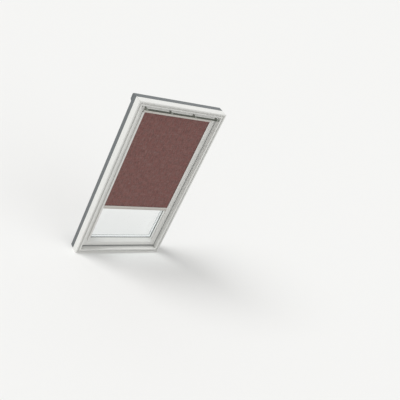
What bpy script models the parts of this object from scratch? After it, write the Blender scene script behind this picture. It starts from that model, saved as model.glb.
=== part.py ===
"""Centre-pivot roof window with the roller blind that hangs in its sash.

The model is in metres. X runs across the window, Z up the roof slope and Y from the room
out through the glass, with the room on the -Y side. The origin is the middle of the
frame's underside. The sash, the vent flap with its control bar, the roller and the
blind's bottom bar hang from empties that stand on their own joint axes.
"""
import math

import bmesh
import bpy
from mathutils import Matrix, Vector

# Fits
GAP = 0.0003
RUN = 0.0003
WELD = 0.00001

# Frame: four mitred members of one section
FRAME_WIDTH = 0.780
FRAME_HEIGHT = 1.398
FRAME_DEPTH = 0.100
FRAME_WALL = 0.034
FRAME_EDGE = 0.002
LINING_LIP = 0.010
LINING_GROOVE = 0.0125
LINING_GROOVE_DEPTH = 0.010
SEAL_BEHIND_SASH_FRONT = 0.0035
SEAL_GROOVE = 0.004
SEAL_GROOVE_DEPTH = 0.003
SEAL_LIP = 0.0045

# Sash: full-height stiles with the two rails butted between them
SASH_BACK_INSET = 0.002
SIDE_GAP = 0.006
TOP_GAP = 0.004
BOTTOM_GAP = 0.012
SASH_EDGE = 0.002
STILE_FACE = 0.0455
LIP_DEPTH = 0.029
GLASS_REBATE = 0.015
BOTTOM_RAIL_FACE = 0.034
BOTTOM_RAIL_SLOPE = 0.024
TOP_RAIL_FACE = 0.0185
TOP_RAIL_SETBACK = 0.001
TOP_LIP = 0.0335
TOP_LIP_THICKNESS = 0.006
FILTER_HEIGHT = 0.008
FILTER_DEPTH = 0.012
FILTER_END_GAP = 0.0045
FILTER_ABOVE_UNDERSIDE = 0.0055

# Glazing unit, from the seat outwards
GLASS_MARGIN = 0.003
GASKET = 0.0014
GASKET_COVER = 0.015
PANE = 0.004
CAVITY = 0.0154
SPACER_INSET = 0.004
SPACER_WIDTH = 0.014
BEDDING = 0.0027
BEDDING_WIDTH = 0.016

# Pivot hinges
HINGE_LENGTH = 0.120
HINGE_BREADTH = 0.032
HINGE_PLATE = 0.0024
HINGE_PIN_RADIUS = 0.005
HINGE_PIN_REACH = 0.0138
HINGE_PIN_POCKET = 0.007
HINGE_END_RADIUS = 0.010

# Latch at the top
LATCH_WIDTH = 0.090
LATCH_BREADTH = 0.022
LATCH_PLATE = 0.0029
STRIKER_WIDTH = 0.080
STRIKER_PLATE = 0.0015
LATCH_SLOT_WIDTH = 0.030
LATCH_SLOT_BREADTH = 0.008
LATCH_SETBACK = 0.027

# Outer aluminium covers
COVER_SHEET = 0.0012
COVER_LAP = 0.040
COVER_GLASS_LAP = 0.018
COVER_STEP_INSET = 0.006
WING_LAP = 0.010
WING_CLEARANCE = 0.001
WING_FROM_PIVOT = 0.160
FLANGE_LAP = 0.018
SASH_COVER_OVERHANG = 0.006
BOTTOM_COVER_OVERHANG = 0.018
HOOD_HEIGHT = 0.016
HOOD_SLOPE = 0.010
HOOD_LAP = 0.026

# Vent flap, its hinge bead and the control bar in front of it
FLAP_END_INSET = 0.012
FLAP_THICKNESS = 0.003
FLAP_SETBACK = 0.014
FLAP_APRON = 0.005
FLAP_TOP_GAP = 0.0045
FLAP_AXIS_ABOVE_CASING = 0.0035
BEAD_RADIUS = 0.0015
BEAD_NECK = 0.0014
BEAD_STANDOFF = 0.003
BEARING_WALL = 0.0008
BEARING_END_GAP = 0.0015
BEARING_OPEN_FROM = math.radians(55)
BEARING_OPEN_TO = math.radians(170)
BAR_SIDE_GAP = 0.0197
BAR_DEPTH = 0.006
BAR_HEIGHT = 0.014
BAR_BOTTOM_BELOW_HEAD = 0.0235
BAR_PROUD = 0.0185
BAR_EDGE = 0.0025
BAR_CAP = 0.014
ARM_COUNT = 4
ARM_END_INSET = 0.004
ARM_WIDTH = 0.014
ARM_THICKNESS = 0.005
ARM_FOOT = 0.002
ARM_FOOT_HEIGHT = 0.011
ARM_CLIP = 0.0016

# Blind: casing, roller and side channels
BLIND_SHEET = 0.0012
CASING_HEIGHT = 0.038
CASING_DEPTH = 0.033
CASING_TOP_GAP = 0.0015
CASING_BACK_GAP = 0.0005
CASING_EDGE = 0.005
CASING_SLOT = 0.0125
CASING_END = 0.0025
ROLLER_RADIUS = 0.009
ROLLER_WALL = 0.001
ROLLER_END_GAP = 0.0022
ROLLER_BEHIND_FRONT = 0.0165
ROLLER_BELOW_TOP = 0.019
FABRIC = 0.00045
ROLL_PITCH = 0.0009
ROLL_TURNS = 3.25
FABRIC_SHORT_OF_TUBE = 0.0004
FABRIC_START_DROP = 0.0042
CHANNEL_MOUTH = 0.0085
CHANNEL_SLOT = 0.0057
CHANNEL_LEG = 0.0245
CHANNEL_FACE = 0.0155
CHANNEL_STOP = 0.008

# Bottom bar, at the height where the photograph has it
BAR_Z = 0.435
BOTTOM_BAR_HEIGHT = 0.025
BOTTOM_BAR_DEPTH = 0.008
BOTTOM_BAR_END_GAP = 0.002
BOTTOM_BAR_SLOT = 0.006
FINGER_LIP = 0.005
FINGER_LIP_THICKNESS = 0.0025
FINGER_LIP_ROOT = 0.0035
GLIDER_CAP = 0.0014
GLIDER_INSET = 0.0025

# Roller bearings and spring
IDLER_PIN_RADIUS = 0.002
IDLER_PIN_LENGTH = 0.020
PLUG_LENGTH = 0.012
PLUG_FLANGE = 0.0012
ARBOR_RADIUS = 0.0025
ARBOR_LENGTH = 0.125
ARBOR_COLLAR_RADIUS = 0.0060
ARBOR_COLLAR = 0.003
SPRING_RADIUS = 0.0052
SPRING_WIRE = 0.0006
SPRING_TURNS = 14
ANCHOR_LENGTH = 0.006

# Places that follow from the sizes above
ROOM_FACE = -FRAME_DEPTH / 2
BACK_FACE = FRAME_DEPTH / 2
OUTER_X = FRAME_WIDTH / 2
INNER_X = OUTER_X - FRAME_WALL
HEAD_UNDERSIDE = FRAME_HEIGHT - FRAME_WALL
SASH_X = INNER_X - SIDE_GAP
SASH_BOTTOM = FRAME_WALL + BOTTOM_GAP
SASH_TOP = HEAD_UNDERSIDE - TOP_GAP
SASH_BACK = BACK_FACE - SASH_BACK_INSET
SASH_FRONT = SASH_BACK - (LIP_DEPTH + GASKET + 2 * PANE + CAVITY + BEDDING + 5 * GAP)
STILE_X = SASH_X - STILE_FACE
REBATE_X = STILE_X + GLASS_REBATE
SEAT_Y = SASH_FRONT + LIP_DEPTH
GASKET_Y = (SEAT_Y + GAP, SEAT_Y + GAP + GASKET)
INNER_PANE_Y = (GASKET_Y[1] + GAP, GASKET_Y[1] + GAP + PANE)
SPACER_Y = (INNER_PANE_Y[1] + GAP, INNER_PANE_Y[1] + GAP + CAVITY)
OUTER_PANE_Y = (SPACER_Y[1] + GAP, SPACER_Y[1] + GAP + PANE)
BEDDING_Y = (OUTER_PANE_Y[1] + GAP, OUTER_PANE_Y[1] + GAP + BEDDING)
BOTTOM_RAIL_TOP = SASH_BOTTOM + BOTTOM_RAIL_FACE + BOTTOM_RAIL_SLOPE
BOTTOM_REBATE = BOTTOM_RAIL_TOP - GLASS_REBATE
TOP_RAIL_UNDERSIDE = SASH_TOP - TOP_RAIL_FACE
TOP_LIP_BOTTOM = TOP_RAIL_UNDERSIDE - TOP_LIP
TOP_REBATE = TOP_LIP_BOTTOM + GLASS_REBATE
TOP_RAIL_FRONT = SASH_FRONT + TOP_RAIL_SETBACK
GLASS_X = REBATE_X - GLASS_MARGIN
GLASS_Z = (BOTTOM_REBATE + GLASS_MARGIN, TOP_REBATE - GLASS_MARGIN)
PIVOT = Vector((0, (SASH_FRONT + SASH_BACK) / 2, (SASH_BOTTOM + SASH_TOP) / 2))

CASING_TOP = TOP_RAIL_UNDERSIDE - CASING_TOP_GAP
CASING_BOTTOM = CASING_TOP - CASING_HEIGHT
CASING_BACK = SEAT_Y - TOP_LIP_THICKNESS - CASING_BACK_GAP
CASING_FRONT = CASING_BACK - CASING_DEPTH
CASING_END_X = STILE_X - GAP
CASING_X = CASING_END_X - CASING_END - GAP
ROLLER = Vector((0, CASING_FRONT + ROLLER_BEHIND_FRONT, CASING_TOP - ROLLER_BELOW_TOP))
ROLLER_X = CASING_X - ROLLER_END_GAP
ROLL_START_RADIUS = ROLLER_RADIUS + GAP
ROLL_RADIUS = ROLL_START_RADIUS + ROLL_PITCH * ROLL_TURNS + FABRIC
FABRIC_Y = (ROLLER.y - ROLL_RADIUS, ROLLER.y - ROLL_RADIUS + FABRIC)
FABRIC_TOP = ROLLER.z - FABRIC_START_DROP
CHANNEL_OUTER = STILE_X - GAP
CHANNEL_WEB = CHANNEL_OUTER - BLIND_SHEET
CHANNEL_INNER = CHANNEL_WEB - CHANNEL_MOUTH
CHANNEL_BOTTOM = BOTTOM_RAIL_TOP
CHANNEL_SLOT_Y = (CASING_FRONT + BLIND_SHEET, CASING_FRONT + BLIND_SHEET + CHANNEL_SLOT)
FABRIC_X = ROLLER_X - FABRIC_SHORT_OF_TUBE
BOTTOM_BAR_X = CHANNEL_INNER - BOTTOM_BAR_END_GAP
BOTTOM_BAR_TOP = BAR_Z + BOTTOM_BAR_HEIGHT

FLAP_AXIS = Vector((0, TOP_RAIL_FRONT - GAP - BEARING_WALL - RUN - BEAD_RADIUS,
                    CASING_TOP + FLAP_AXIS_ABOVE_CASING))
FLAP_BOTTOM = FLAP_AXIS.z + BEAD_STANDOFF
FLAP_TOP = HEAD_UNDERSIDE - FLAP_TOP_GAP
FLAP_FRONT = ROOM_FACE + FLAP_SETBACK
BAR_BOTTOM = HEAD_UNDERSIDE - BAR_BOTTOM_BELOW_HEAD
BAR_FRONT = ROOM_FACE - BAR_PROUD + ARM_CLIP + GAP
BAR_BACK = BAR_FRONT + BAR_DEPTH
FILTER_X = STILE_X - FILTER_END_GAP
BEARING_X = STILE_X - BEARING_END_GAP
FLAP_X = SASH_X - FLAP_END_INSET
BAR_X = INNER_X - BAR_SIDE_GAP - BAR_CAP - GAP
ARM_SPACING = 2 * (BAR_X - ARM_END_INSET) / (ARM_COUNT - 1)

COVER_STEP = COVER_SHEET / 2 + GAP
WING_Y = BACK_FACE + COVER_STEP + COVER_SHEET + WING_CLEARANCE
COVER_EDGE_X = GLASS_X - COVER_GLASS_LAP

# Colour, roughness and metallic value of each finish
WHITE_LACQUER = ("#F1F1EE", 0.42, 0.0)
GREY_COVER = ("#6E7274", 0.45, 0.8)
BAR_FINISH = ("#5D5F58", 0.40, 0.6)
BAR_PLASTIC = ("#54574F", 0.50, 0.0)
BLIND_WHITE = ("#CFCBC5", 0.45, 0.1)
SEAL_GREY = ("#8E9091", 0.70, 0.0)
GASKET_GREY = ("#606365", 0.65, 0.0)
SPACER_GREY = ("#DADCDC", 0.50, 0.1)
STEEL = ("#B9BBBC", 0.30, 1.0)
PLASTIC = ("#D9D9D5", 0.50, 0.0)
FOAM = ("#3C3E3F", 0.90, 0.0)
FLEECE = ("#7D5D59", 0.85, 0.0)
CLEAR_GLASS = ("#F4F8F7", 0.03, 0.0)

# Local axes of an outline that is extruded along X, Y or Z
ALONG = {
    "X": Matrix(((0, 0, 1), (1, 0, 0), (0, 1, 0))),
    "Y": Matrix(((1, 0, 0), (0, 0, -1), (0, 1, 0))),
    "Z": Matrix.Identity(3),
}
SIDES = {"left": -1, "right": 1}


def srgb(colour):
    """Linear red, green, blue and alpha of a hex colour."""
    channels = [int(colour[i:i + 2], 16) / 255 for i in (1, 3, 5)]
    linear = [c / 12.92 if c <= 0.04045 else ((c + 0.055) / 1.055) ** 2.4 for c in channels]
    return (*linear, 1.0)


def paint(piece, finish):
    """Give a piece its own Principled material."""
    colour, roughness, metallic = finish
    surface = bpy.data.materials.new(f"{piece.name}_finish")
    surface.use_nodes = True
    shader = surface.node_tree.nodes["Principled BSDF"]
    shader.inputs["Base Color"].default_value = srgb(colour)
    shader.inputs["Roughness"].default_value = roughness
    shader.inputs["Metallic"].default_value = metallic
    if finish is CLEAR_GLASS:
        shader.inputs["Transmission Weight"].default_value = 1.0
    piece.data.materials.append(surface)
    return piece


def placed(name, mesh, finish, turn=None, location=(0, 0, 0)):
    """Put a mesh in the parts collection, or among the cutters when it has no finish."""
    piece = bpy.data.objects.new(name, mesh)
    piece.matrix_basis = Matrix.Translation(location)
    if turn is not None:
        piece.matrix_basis = Matrix.Translation(location) @ turn.to_4x4()
    if finish:
        PARTS.objects.link(piece)
        return paint(piece, finish)
    CUTTERS.objects.link(piece)
    piece.hide_render = True
    piece.display_type = "WIRE"
    return piece


def as_mesh(curve, closed=True):
    """Turn a curve into a welded mesh, because a curve takes no Boolean."""
    guide = bpy.data.objects.new(curve.name, curve)
    bpy.context.scene.collection.objects.link(guide)
    graph = bpy.context.evaluated_depsgraph_get()
    mesh = bpy.data.meshes.new_from_object(guide.evaluated_get(graph))
    bpy.data.objects.remove(guide)
    bpy.data.curves.remove(curve)
    shape = bmesh.new()
    shape.from_mesh(mesh)
    bmesh.ops.remove_doubles(shape, verts=shape.verts, dist=WELD)
    if closed:
        bmesh.ops.recalc_face_normals(shape, faces=shape.faces)
    shape.to_mesh(mesh)
    shape.free()
    return mesh


def flat_curve(name, outlines, thickness, cyclic):
    """2D curve through each outline, extruded to both sides of its plane."""
    curve = bpy.data.curves.new(name, "CURVE")
    curve.dimensions = "2D"
    curve.render_resolution_u = 0
    curve.fill_mode = "BOTH" if cyclic else "NONE"
    curve.extrude = thickness / 2
    for outline in outlines:
        spline = curve.splines.new("POLY")
        spline.points.add(len(outline) - 1)
        for point, (across, along) in zip(spline.points, outline):
            point.co = (across, along, 0, 1)
        spline.use_cyclic_u = cyclic
    return curve


def extruded(name, outlines, axis, start, end, finish=None):
    """Solid of one outline, with any further outlines as holes, from start to end along an axis.

    An outline's points are (y, z) along X, (x, z) along Y and (x, y) along Z.
    """
    mesh = as_mesh(flat_curve(name, outlines, end - start, True))
    turn = ALONG[axis]
    middle = {"X": ((start + end) / 2, 0, 0), "Y": (0, (start + end) / 2, 0),
              "Z": (0, 0, (start + end) / 2)}[axis]
    return placed(name, mesh, finish, turn, middle)


def folded(name, path, axis, start, end, sheet, finish):
    """Folded sheet: an open path through the middle of the sheet, extruded and thickened."""
    mesh = as_mesh(flat_curve(name, [path], end - start, False), closed=False)
    turn = ALONG[axis]
    middle = {"X": ((start + end) / 2, 0, 0), "Y": (0, (start + end) / 2, 0),
              "Z": (0, 0, (start + end) / 2)}[axis]
    piece = placed(name, mesh, finish, turn, middle)
    solidify = piece.modifiers.new("sheet", "SOLIDIFY")
    solidify.thickness = sheet
    solidify.offset = 0
    solidify.use_even_offset = True
    return piece


def box(name, x, y, z, finish=None):
    """Box between two values on each axis."""
    size = Vector((x[1] - x[0], y[1] - y[0], z[1] - z[0]))
    middle = Vector((sum(x) / 2, sum(y) / 2, sum(z) / 2))
    mesh = bpy.data.meshes.new(name)
    shape = bmesh.new()
    bmesh.ops.create_cube(shape, size=1, matrix=Matrix.Diagonal(size).to_4x4())
    shape.to_mesh(mesh)
    shape.free()
    return placed(name, mesh, finish, None, middle)


def rod(name, centre, x, radius, finish=None, sides=24):
    """Round rod along X."""
    mesh = bpy.data.meshes.new(name)
    shape = bmesh.new()
    bmesh.ops.create_cone(shape, cap_ends=True, segments=sides, radius1=radius, radius2=radius,
                          depth=x[1] - x[0])
    shape.to_mesh(mesh)
    shape.free()
    return placed(name, mesh, finish, ALONG["X"], (sum(x) / 2, centre.y, centre.z))


def turned(name, profile, centre, x, direction, finish, sides=24):
    """Piece revolved about the X axis.

    The profile is a closed loop of (radius, distance from x), down its outer side first.
    """
    mesh = bpy.data.meshes.new(name)
    shape = bmesh.new()
    loop = [shape.verts.new((radius, 0, -distance)) for radius, distance in profile]
    for index, corner in enumerate(loop):
        shape.edges.new((loop[index - 1], corner))
    shape.to_mesh(mesh)
    shape.free()
    turn = ALONG["X"]
    if direction > 0:
        turn = turn @ Matrix.Rotation(math.pi, 3, "X")
    piece = placed(name, mesh, finish, turn, (x, centre.y, centre.z))
    screw = piece.modifiers.new("turn", "SCREW")
    screw.axis = "Z"
    screw.steps = sides
    screw.render_steps = sides
    screw.use_merge_vertices = True
    screw.merge_threshold = WELD
    screw.use_smooth_shade = False
    return piece


def rounded(corners, steps=3):
    """Closed outline whose corners with a third value are rounded to that radius."""
    outline = []
    for index, corner in enumerate(corners):
        point = Vector(corner[:2])
        if len(corner) == 2:
            outline.append(point)
            continue
        back = (Vector(corners[index - 1][:2]) - point).normalized()
        ahead = (Vector(corners[(index + 1) % len(corners)][:2]) - point).normalized()
        half = back.angle(ahead) / 2
        centre = point + (back + ahead).normalized() * corner[2] / math.sin(half)
        reach = corner[2] / math.tan(half)
        first = point + back * reach - centre
        last = point + ahead * reach - centre
        start = math.atan2(first.y, first.x)
        sweep = math.atan2(last.y, last.x) - start
        sweep = (sweep + math.pi) % (2 * math.pi) - math.pi
        for step in range(steps + 1):
            angle = start + sweep * step / steps
            outline.append(centre + Vector((math.cos(angle), math.sin(angle))) * corner[2])
    return outline


def arc(centre, radius, start, end, steps):
    """Points of an arc about a (y, z) centre, angles from +Y towards +Z."""
    points = []
    for step in range(steps + 1):
        angle = start + (end - start) * step / steps
        points.append((centre[0] + radius * math.cos(angle), centre[1] + radius * math.sin(angle)))
    return points


def rectangle(across, along, radius=0):
    """Rectangular outline between two pairs of values."""
    corners = [(across[0], along[0]), (across[1], along[0]), (across[1], along[1]),
               (across[0], along[1])]
    if radius:
        corners = [(*corner, radius) for corner in corners]
    return rounded(corners)


def combine(piece, other, operation):
    """Cut a helper solid out of a piece, or join it on."""
    boolean = piece.modifiers.new(other.name, "BOOLEAN")
    boolean.operation = operation
    boolean.solver = "EXACT"
    boolean.object = other
    return piece


def cut(piece, cutter):
    return combine(piece, cutter, "DIFFERENCE")


def join(piece, addition):
    return combine(piece, addition, "UNION")


def mirrored(side, values):
    """A pair of x values on one side of the window, in rising order."""
    return tuple(sorted(side * value for value in values))


def mitred_member(name, outline, length, turn, location):
    """Frame member along its own Z, with both ends drawn in to 45 degrees."""
    mesh = as_mesh(flat_curve(name, [outline], length, True))
    for vertex in mesh.vertices:
        inset = vertex.co.x + GAP / math.sqrt(2)
        vertex.co.z -= math.copysign(inset, vertex.co.z)
    return placed(name, mesh, WHITE_LACQUER, Matrix.Rotation(turn, 3, "Y"), location)


def frame_section():
    """Section of a frame member: distance in from its outer face, and Y."""
    groove = LINING_LIP + LINING_GROOVE
    groove_floor = ROOM_FACE + LINING_GROOVE_DEPTH
    seal = SASH_FRONT + SEAL_BEHIND_SASH_FRONT
    seal_floor = FRAME_WALL - SEAL_GROOVE_DEPTH
    rebate = COVER_SHEET + GAP
    rebate_start = BACK_FACE - COVER_LAP
    return rounded([
        (0, ROOM_FACE), (LINING_LIP, ROOM_FACE), (LINING_LIP, groove_floor),
        (groove, groove_floor), (groove, ROOM_FACE), (FRAME_WALL, ROOM_FACE, FRAME_EDGE),
        (FRAME_WALL, seal), (seal_floor, seal), (seal_floor, seal + SEAL_GROOVE),
        (FRAME_WALL, seal + SEAL_GROOVE), (FRAME_WALL, BACK_FACE), (rebate, BACK_FACE),
        (rebate, rebate_start), (0, rebate_start)])


def make_frame():
    """Head, sill and jambs, with the hinge pockets cut in the jambs."""
    section = frame_section()
    middle = FRAME_HEIGHT / 2
    jambs = {}
    for side_name, side in SIDES.items():
        turn = 0 if side < 0 else math.pi
        jambs[side_name] = mitred_member(f"frame_jamb_{side_name}", section, FRAME_HEIGHT, turn,
                                         (side * OUTER_X, 0, middle))
        pocket = box(f"jamb_pocket_{side_name}",
                     mirrored(side, (INNER_X - FRAME_EDGE, INNER_X + HINGE_PLATE + 2 * GAP)),
                     hinge_span(PIVOT.y, HINGE_BREADTH), hinge_span(PIVOT.z, HINGE_LENGTH))
        cut(jambs[side_name], pocket)
    mitred_member("frame_head", section, FRAME_WIDTH, math.pi / 2, (0, 0, FRAME_HEIGHT))
    mitred_member("frame_sill", section, FRAME_WIDTH, -math.pi / 2, (0, 0, 0))


def hinge_span(middle, size):
    """Extent of a hinge pocket on one axis, with its clearance."""
    return (middle - size / 2 - GAP, middle + size / 2 + GAP)


def make_frame_seal():
    """Rubber seal that runs round the frame in one groove."""
    base = FRAME_WALL - SEAL_GROOVE_DEPTH + GAP
    tip = FRAME_WALL + SEAL_LIP
    top_tip = FRAME_WALL + TOP_GAP - RUN * 5
    outer = rectangle((base - OUTER_X, OUTER_X - base), (base, FRAME_HEIGHT - base))
    inner = rectangle((tip - OUTER_X, OUTER_X - tip), (tip, FRAME_HEIGHT - top_tip))
    start = SASH_FRONT + SEAL_BEHIND_SASH_FRONT + GAP
    extruded("frame_seal", [outer, inner], "Y", start, start + SEAL_GROOVE - 2 * GAP, SEAL_GREY)


def make_hinges():
    """Pivot hinges: a pin on the frame's plate turns in the sash plate's bore."""
    y = (PIVOT.y - HINGE_BREADTH / 2, PIVOT.y + HINGE_BREADTH / 2)
    z = (PIVOT.z - HINGE_LENGTH / 2, PIVOT.z + HINGE_LENGTH / 2)
    pieces = []
    for side_name, side in SIDES.items():
        frame_x = mirrored(side, (INNER_X + GAP, INNER_X + GAP + HINGE_PLATE))
        frame_plate = extruded(f"hinge_frame_{side_name}", [rectangle(y, z, HINGE_END_RADIUS)],
                               "X", *frame_x, STEEL)
        pin_x = mirrored(side, (INNER_X + GAP - HINGE_PIN_REACH, INNER_X + GAP + HINGE_PLATE / 2))
        join(frame_plate, rod(f"hinge_pin_{side_name}", PIVOT, pin_x, HINGE_PIN_RADIUS))
        sash_x = mirrored(side, (SASH_X - GAP - HINGE_PLATE, SASH_X - GAP))
        bore = arc((PIVOT.y, PIVOT.z), HINGE_PIN_RADIUS + RUN, 0, 2 * math.pi * 31 / 32, 31)
        pieces.append(extruded(f"hinge_sash_{side_name}",
                               [rectangle(y, z, HINGE_END_RADIUS), bore], "X", *sash_x, STEEL))
    return pieces


def make_stiles():
    """Sash stiles: a lip in front of the glass, a rebate behind it and the hinge pocket."""
    pieces = []
    for side_name, side in SIDES.items():
        section = rounded([
            (side * STILE_X, SASH_FRONT, SASH_EDGE), (side * SASH_X, SASH_FRONT, SASH_EDGE),
            (side * SASH_X, SASH_BACK), (side * REBATE_X, SASH_BACK), (side * REBATE_X, SEAT_Y),
            (side * STILE_X, SEAT_Y)])
        stile = extruded(f"sash_stile_{side_name}", [section], "Z", SASH_BOTTOM, SASH_TOP,
                         WHITE_LACQUER)
        plate = box(f"stile_pocket_{side_name}",
                    mirrored(side, (SASH_X - HINGE_PLATE - 2 * GAP, SASH_X + SASH_EDGE)),
                    hinge_span(PIVOT.y, HINGE_BREADTH), hinge_span(PIVOT.z, HINGE_LENGTH))
        pin = rod(f"stile_pin_pocket_{side_name}", PIVOT,
                  mirrored(side, (INNER_X - HINGE_PIN_REACH - HINGE_PLATE, SASH_X)),
                  HINGE_PIN_POCKET)
        pieces.append(cut(cut(stile, plate), pin))
    return pieces


def clear_rail_ends(rail):
    """Cut a rail back between the stiles in front of the glass seat."""
    for side_name, side in SIDES.items():
        cut(rail, box(f"{rail.name}_end_{side_name}", mirrored(side, (STILE_X - GAP, SASH_X)),
                      (SASH_FRONT - LIP_DEPTH, SEAT_Y + GAP),
                      (SASH_BOTTOM - LIP_DEPTH, SASH_TOP + LIP_DEPTH)))
    return rail


def make_rails():
    """Bottom rail with a sloped top to the glass, top rail with a thin lip behind the casing."""
    reach = REBATE_X - GAP
    bottom_face = SASH_BOTTOM + BOTTOM_RAIL_FACE
    bottom = extruded("sash_bottom_rail", [rounded([
        (SASH_FRONT, SASH_BOTTOM, SASH_EDGE), (SASH_BACK, SASH_BOTTOM),
        (SASH_BACK, BOTTOM_REBATE), (SEAT_Y, BOTTOM_REBATE), (SEAT_Y, BOTTOM_RAIL_TOP),
        (SASH_FRONT, bottom_face, SASH_EDGE)])], "X", -reach, reach, WHITE_LACQUER)
    lip_front = SEAT_Y - TOP_LIP_THICKNESS
    top = extruded("sash_top_rail", [rounded([
        (TOP_RAIL_FRONT, TOP_RAIL_UNDERSIDE), (lip_front, TOP_RAIL_UNDERSIDE),
        (lip_front, TOP_LIP_BOTTOM), (SEAT_Y, TOP_LIP_BOTTOM), (SEAT_Y, TOP_REBATE),
        (SASH_BACK, TOP_REBATE), (SASH_BACK, SASH_TOP), (TOP_RAIL_FRONT, SASH_TOP)])],
        "X", -reach, reach, WHITE_LACQUER)
    filter_bottom = TOP_RAIL_UNDERSIDE + FILTER_ABOVE_UNDERSIDE
    cut(top, box("filter_groove", (-FILTER_X - GAP, FILTER_X + GAP),
                 (TOP_RAIL_FRONT - GAP, TOP_RAIL_FRONT + FILTER_DEPTH + GAP),
                 (filter_bottom - GAP, filter_bottom + FILTER_HEIGHT + GAP)))
    latch_y = SASH_FRONT + LATCH_SETBACK
    cut(top, box("latch_pocket", (-LATCH_WIDTH / 2 - GAP, LATCH_WIDTH / 2 + GAP),
                 (latch_y - LATCH_BREADTH / 2 - GAP, latch_y + LATCH_BREADTH / 2 + GAP),
                 (SASH_TOP - LATCH_PLATE - 2 * GAP, SASH_TOP + GAP)))
    air_filter = box("air_filter", (-FILTER_X, FILTER_X),
                     (TOP_RAIL_FRONT, TOP_RAIL_FRONT + FILTER_DEPTH),
                     (filter_bottom, filter_bottom + FILTER_HEIGHT), FOAM)
    return [clear_rail_ends(bottom), clear_rail_ends(top), air_filter]


def make_latch():
    """Latch plate let into the sash, and the striker plate under the frame's head."""
    latch_y = SASH_FRONT + LATCH_SETBACK
    y = (latch_y - LATCH_BREADTH / 2, latch_y + LATCH_BREADTH / 2)
    slot = rectangle((-LATCH_SLOT_WIDTH / 2, LATCH_SLOT_WIDTH / 2),
                     (latch_y - LATCH_SLOT_BREADTH / 2, latch_y + LATCH_SLOT_BREADTH / 2))
    extruded("striker_plate", [rectangle((-STRIKER_WIDTH / 2, STRIKER_WIDTH / 2), y), slot], "Z",
             HEAD_UNDERSIDE - GAP - STRIKER_PLATE, HEAD_UNDERSIDE - GAP, STEEL)
    return extruded("latch_plate", [rectangle((-LATCH_WIDTH / 2, LATCH_WIDTH / 2), y), slot], "Z",
                    SASH_TOP - GAP - LATCH_PLATE, SASH_TOP - GAP, STEEL)


def glass_ring(name, y, inner_inset, outer_inset, finish):
    """Rectangular ring along the edge of the glass."""
    loops = []
    for inset in (outer_inset, inner_inset):
        loops.append(rectangle((inset - GLASS_X, GLASS_X - inset),
                               (GLASS_Z[0] + inset, GLASS_Z[1] - inset)))
    return extruded(name, loops, "Y", *y, finish)


def make_glazing():
    """Double-glazed unit between its inner gasket and its outer bedding strip."""
    pane = rectangle((-GLASS_X, GLASS_X), GLASS_Z)
    return [
        glass_ring("glazing_gasket", GASKET_Y, GASKET_COVER, 0, GASKET_GREY),
        extruded("inner_pane", [pane], "Y", *INNER_PANE_Y, CLEAR_GLASS),
        glass_ring("glazing_spacer", SPACER_Y, SPACER_INSET + SPACER_WIDTH, SPACER_INSET,
                   SPACER_GREY),
        extruded("outer_pane", [pane], "Y", *OUTER_PANE_Y, CLEAR_GLASS),
        glass_ring("glazing_bedding", BEDDING_Y, BEDDING_WIDTH, 0, SEAL_GREY)]


def make_sash_covers():
    """Outer covers of the sash: below the pivot their wings lap over the frame, above it not."""
    flat_y = SASH_BACK + COVER_STEP
    step_x = SASH_X - COVER_STEP_INSET
    wing_x = INNER_X + WING_LAP
    bottom = SASH_BOTTOM - BOTTOM_COVER_OVERHANG
    top = SASH_TOP - SASH_COVER_OVERHANG
    step_z = SASH_BOTTOM + COVER_STEP_INSET
    side_start = step_z + COVER_SHEET / 2 + GAP
    pieces = []
    for side_name, side in SIDES.items():
        path = [(side * COVER_EDGE_X, flat_y), (side * step_x, flat_y), (side * step_x, WING_Y),
                (side * wing_x, WING_Y)]
        cover = folded(f"sash_cover_{side_name}", path, "Z", side_start, top, COVER_SHEET,
                       GREY_COVER)
        wing = box(f"wing_cut_{side_name}",
                   mirrored(side, (step_x - COVER_SHEET, wing_x + COVER_SHEET)),
                   (flat_y - COVER_SHEET, WING_Y + COVER_SHEET),
                   (PIVOT.z - WING_FROM_PIVOT, top + COVER_SHEET))
        edge = box(f"cover_edge_{side_name}", mirrored(side, (step_x - 2 * COVER_SHEET, SASH_X)),
                   (flat_y - COVER_SHEET / 2, flat_y + COVER_SHEET / 2),
                   (PIVOT.z - WING_FROM_PIVOT + GAP, top))
        pieces.append(join(cut(cover, wing), edge))
    half = COVER_EDGE_X - GAP
    glass_bottom = GLASS_Z[0] + COVER_GLASS_LAP
    glass_top = GLASS_Z[1] - COVER_GLASS_LAP
    bottom_cover = folded("sash_cover_bottom", [
        (flat_y, glass_bottom), (flat_y, step_z), (WING_Y, step_z), (WING_Y, bottom)],
        "X", -half, half, COVER_SHEET, GREY_COVER)
    pieces.append(join(bottom_cover, box("bottom_wing", (-wing_x, wing_x), (
        WING_Y - COVER_SHEET / 2, WING_Y + COVER_SHEET / 2), (bottom, step_z + COVER_SHEET / 2))))
    pieces.append(box("sash_cover_top", (-half, half),
                      (flat_y - COVER_SHEET / 2, flat_y + COVER_SHEET / 2), (glass_top, top),
                      GREY_COVER))
    return pieces


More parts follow.
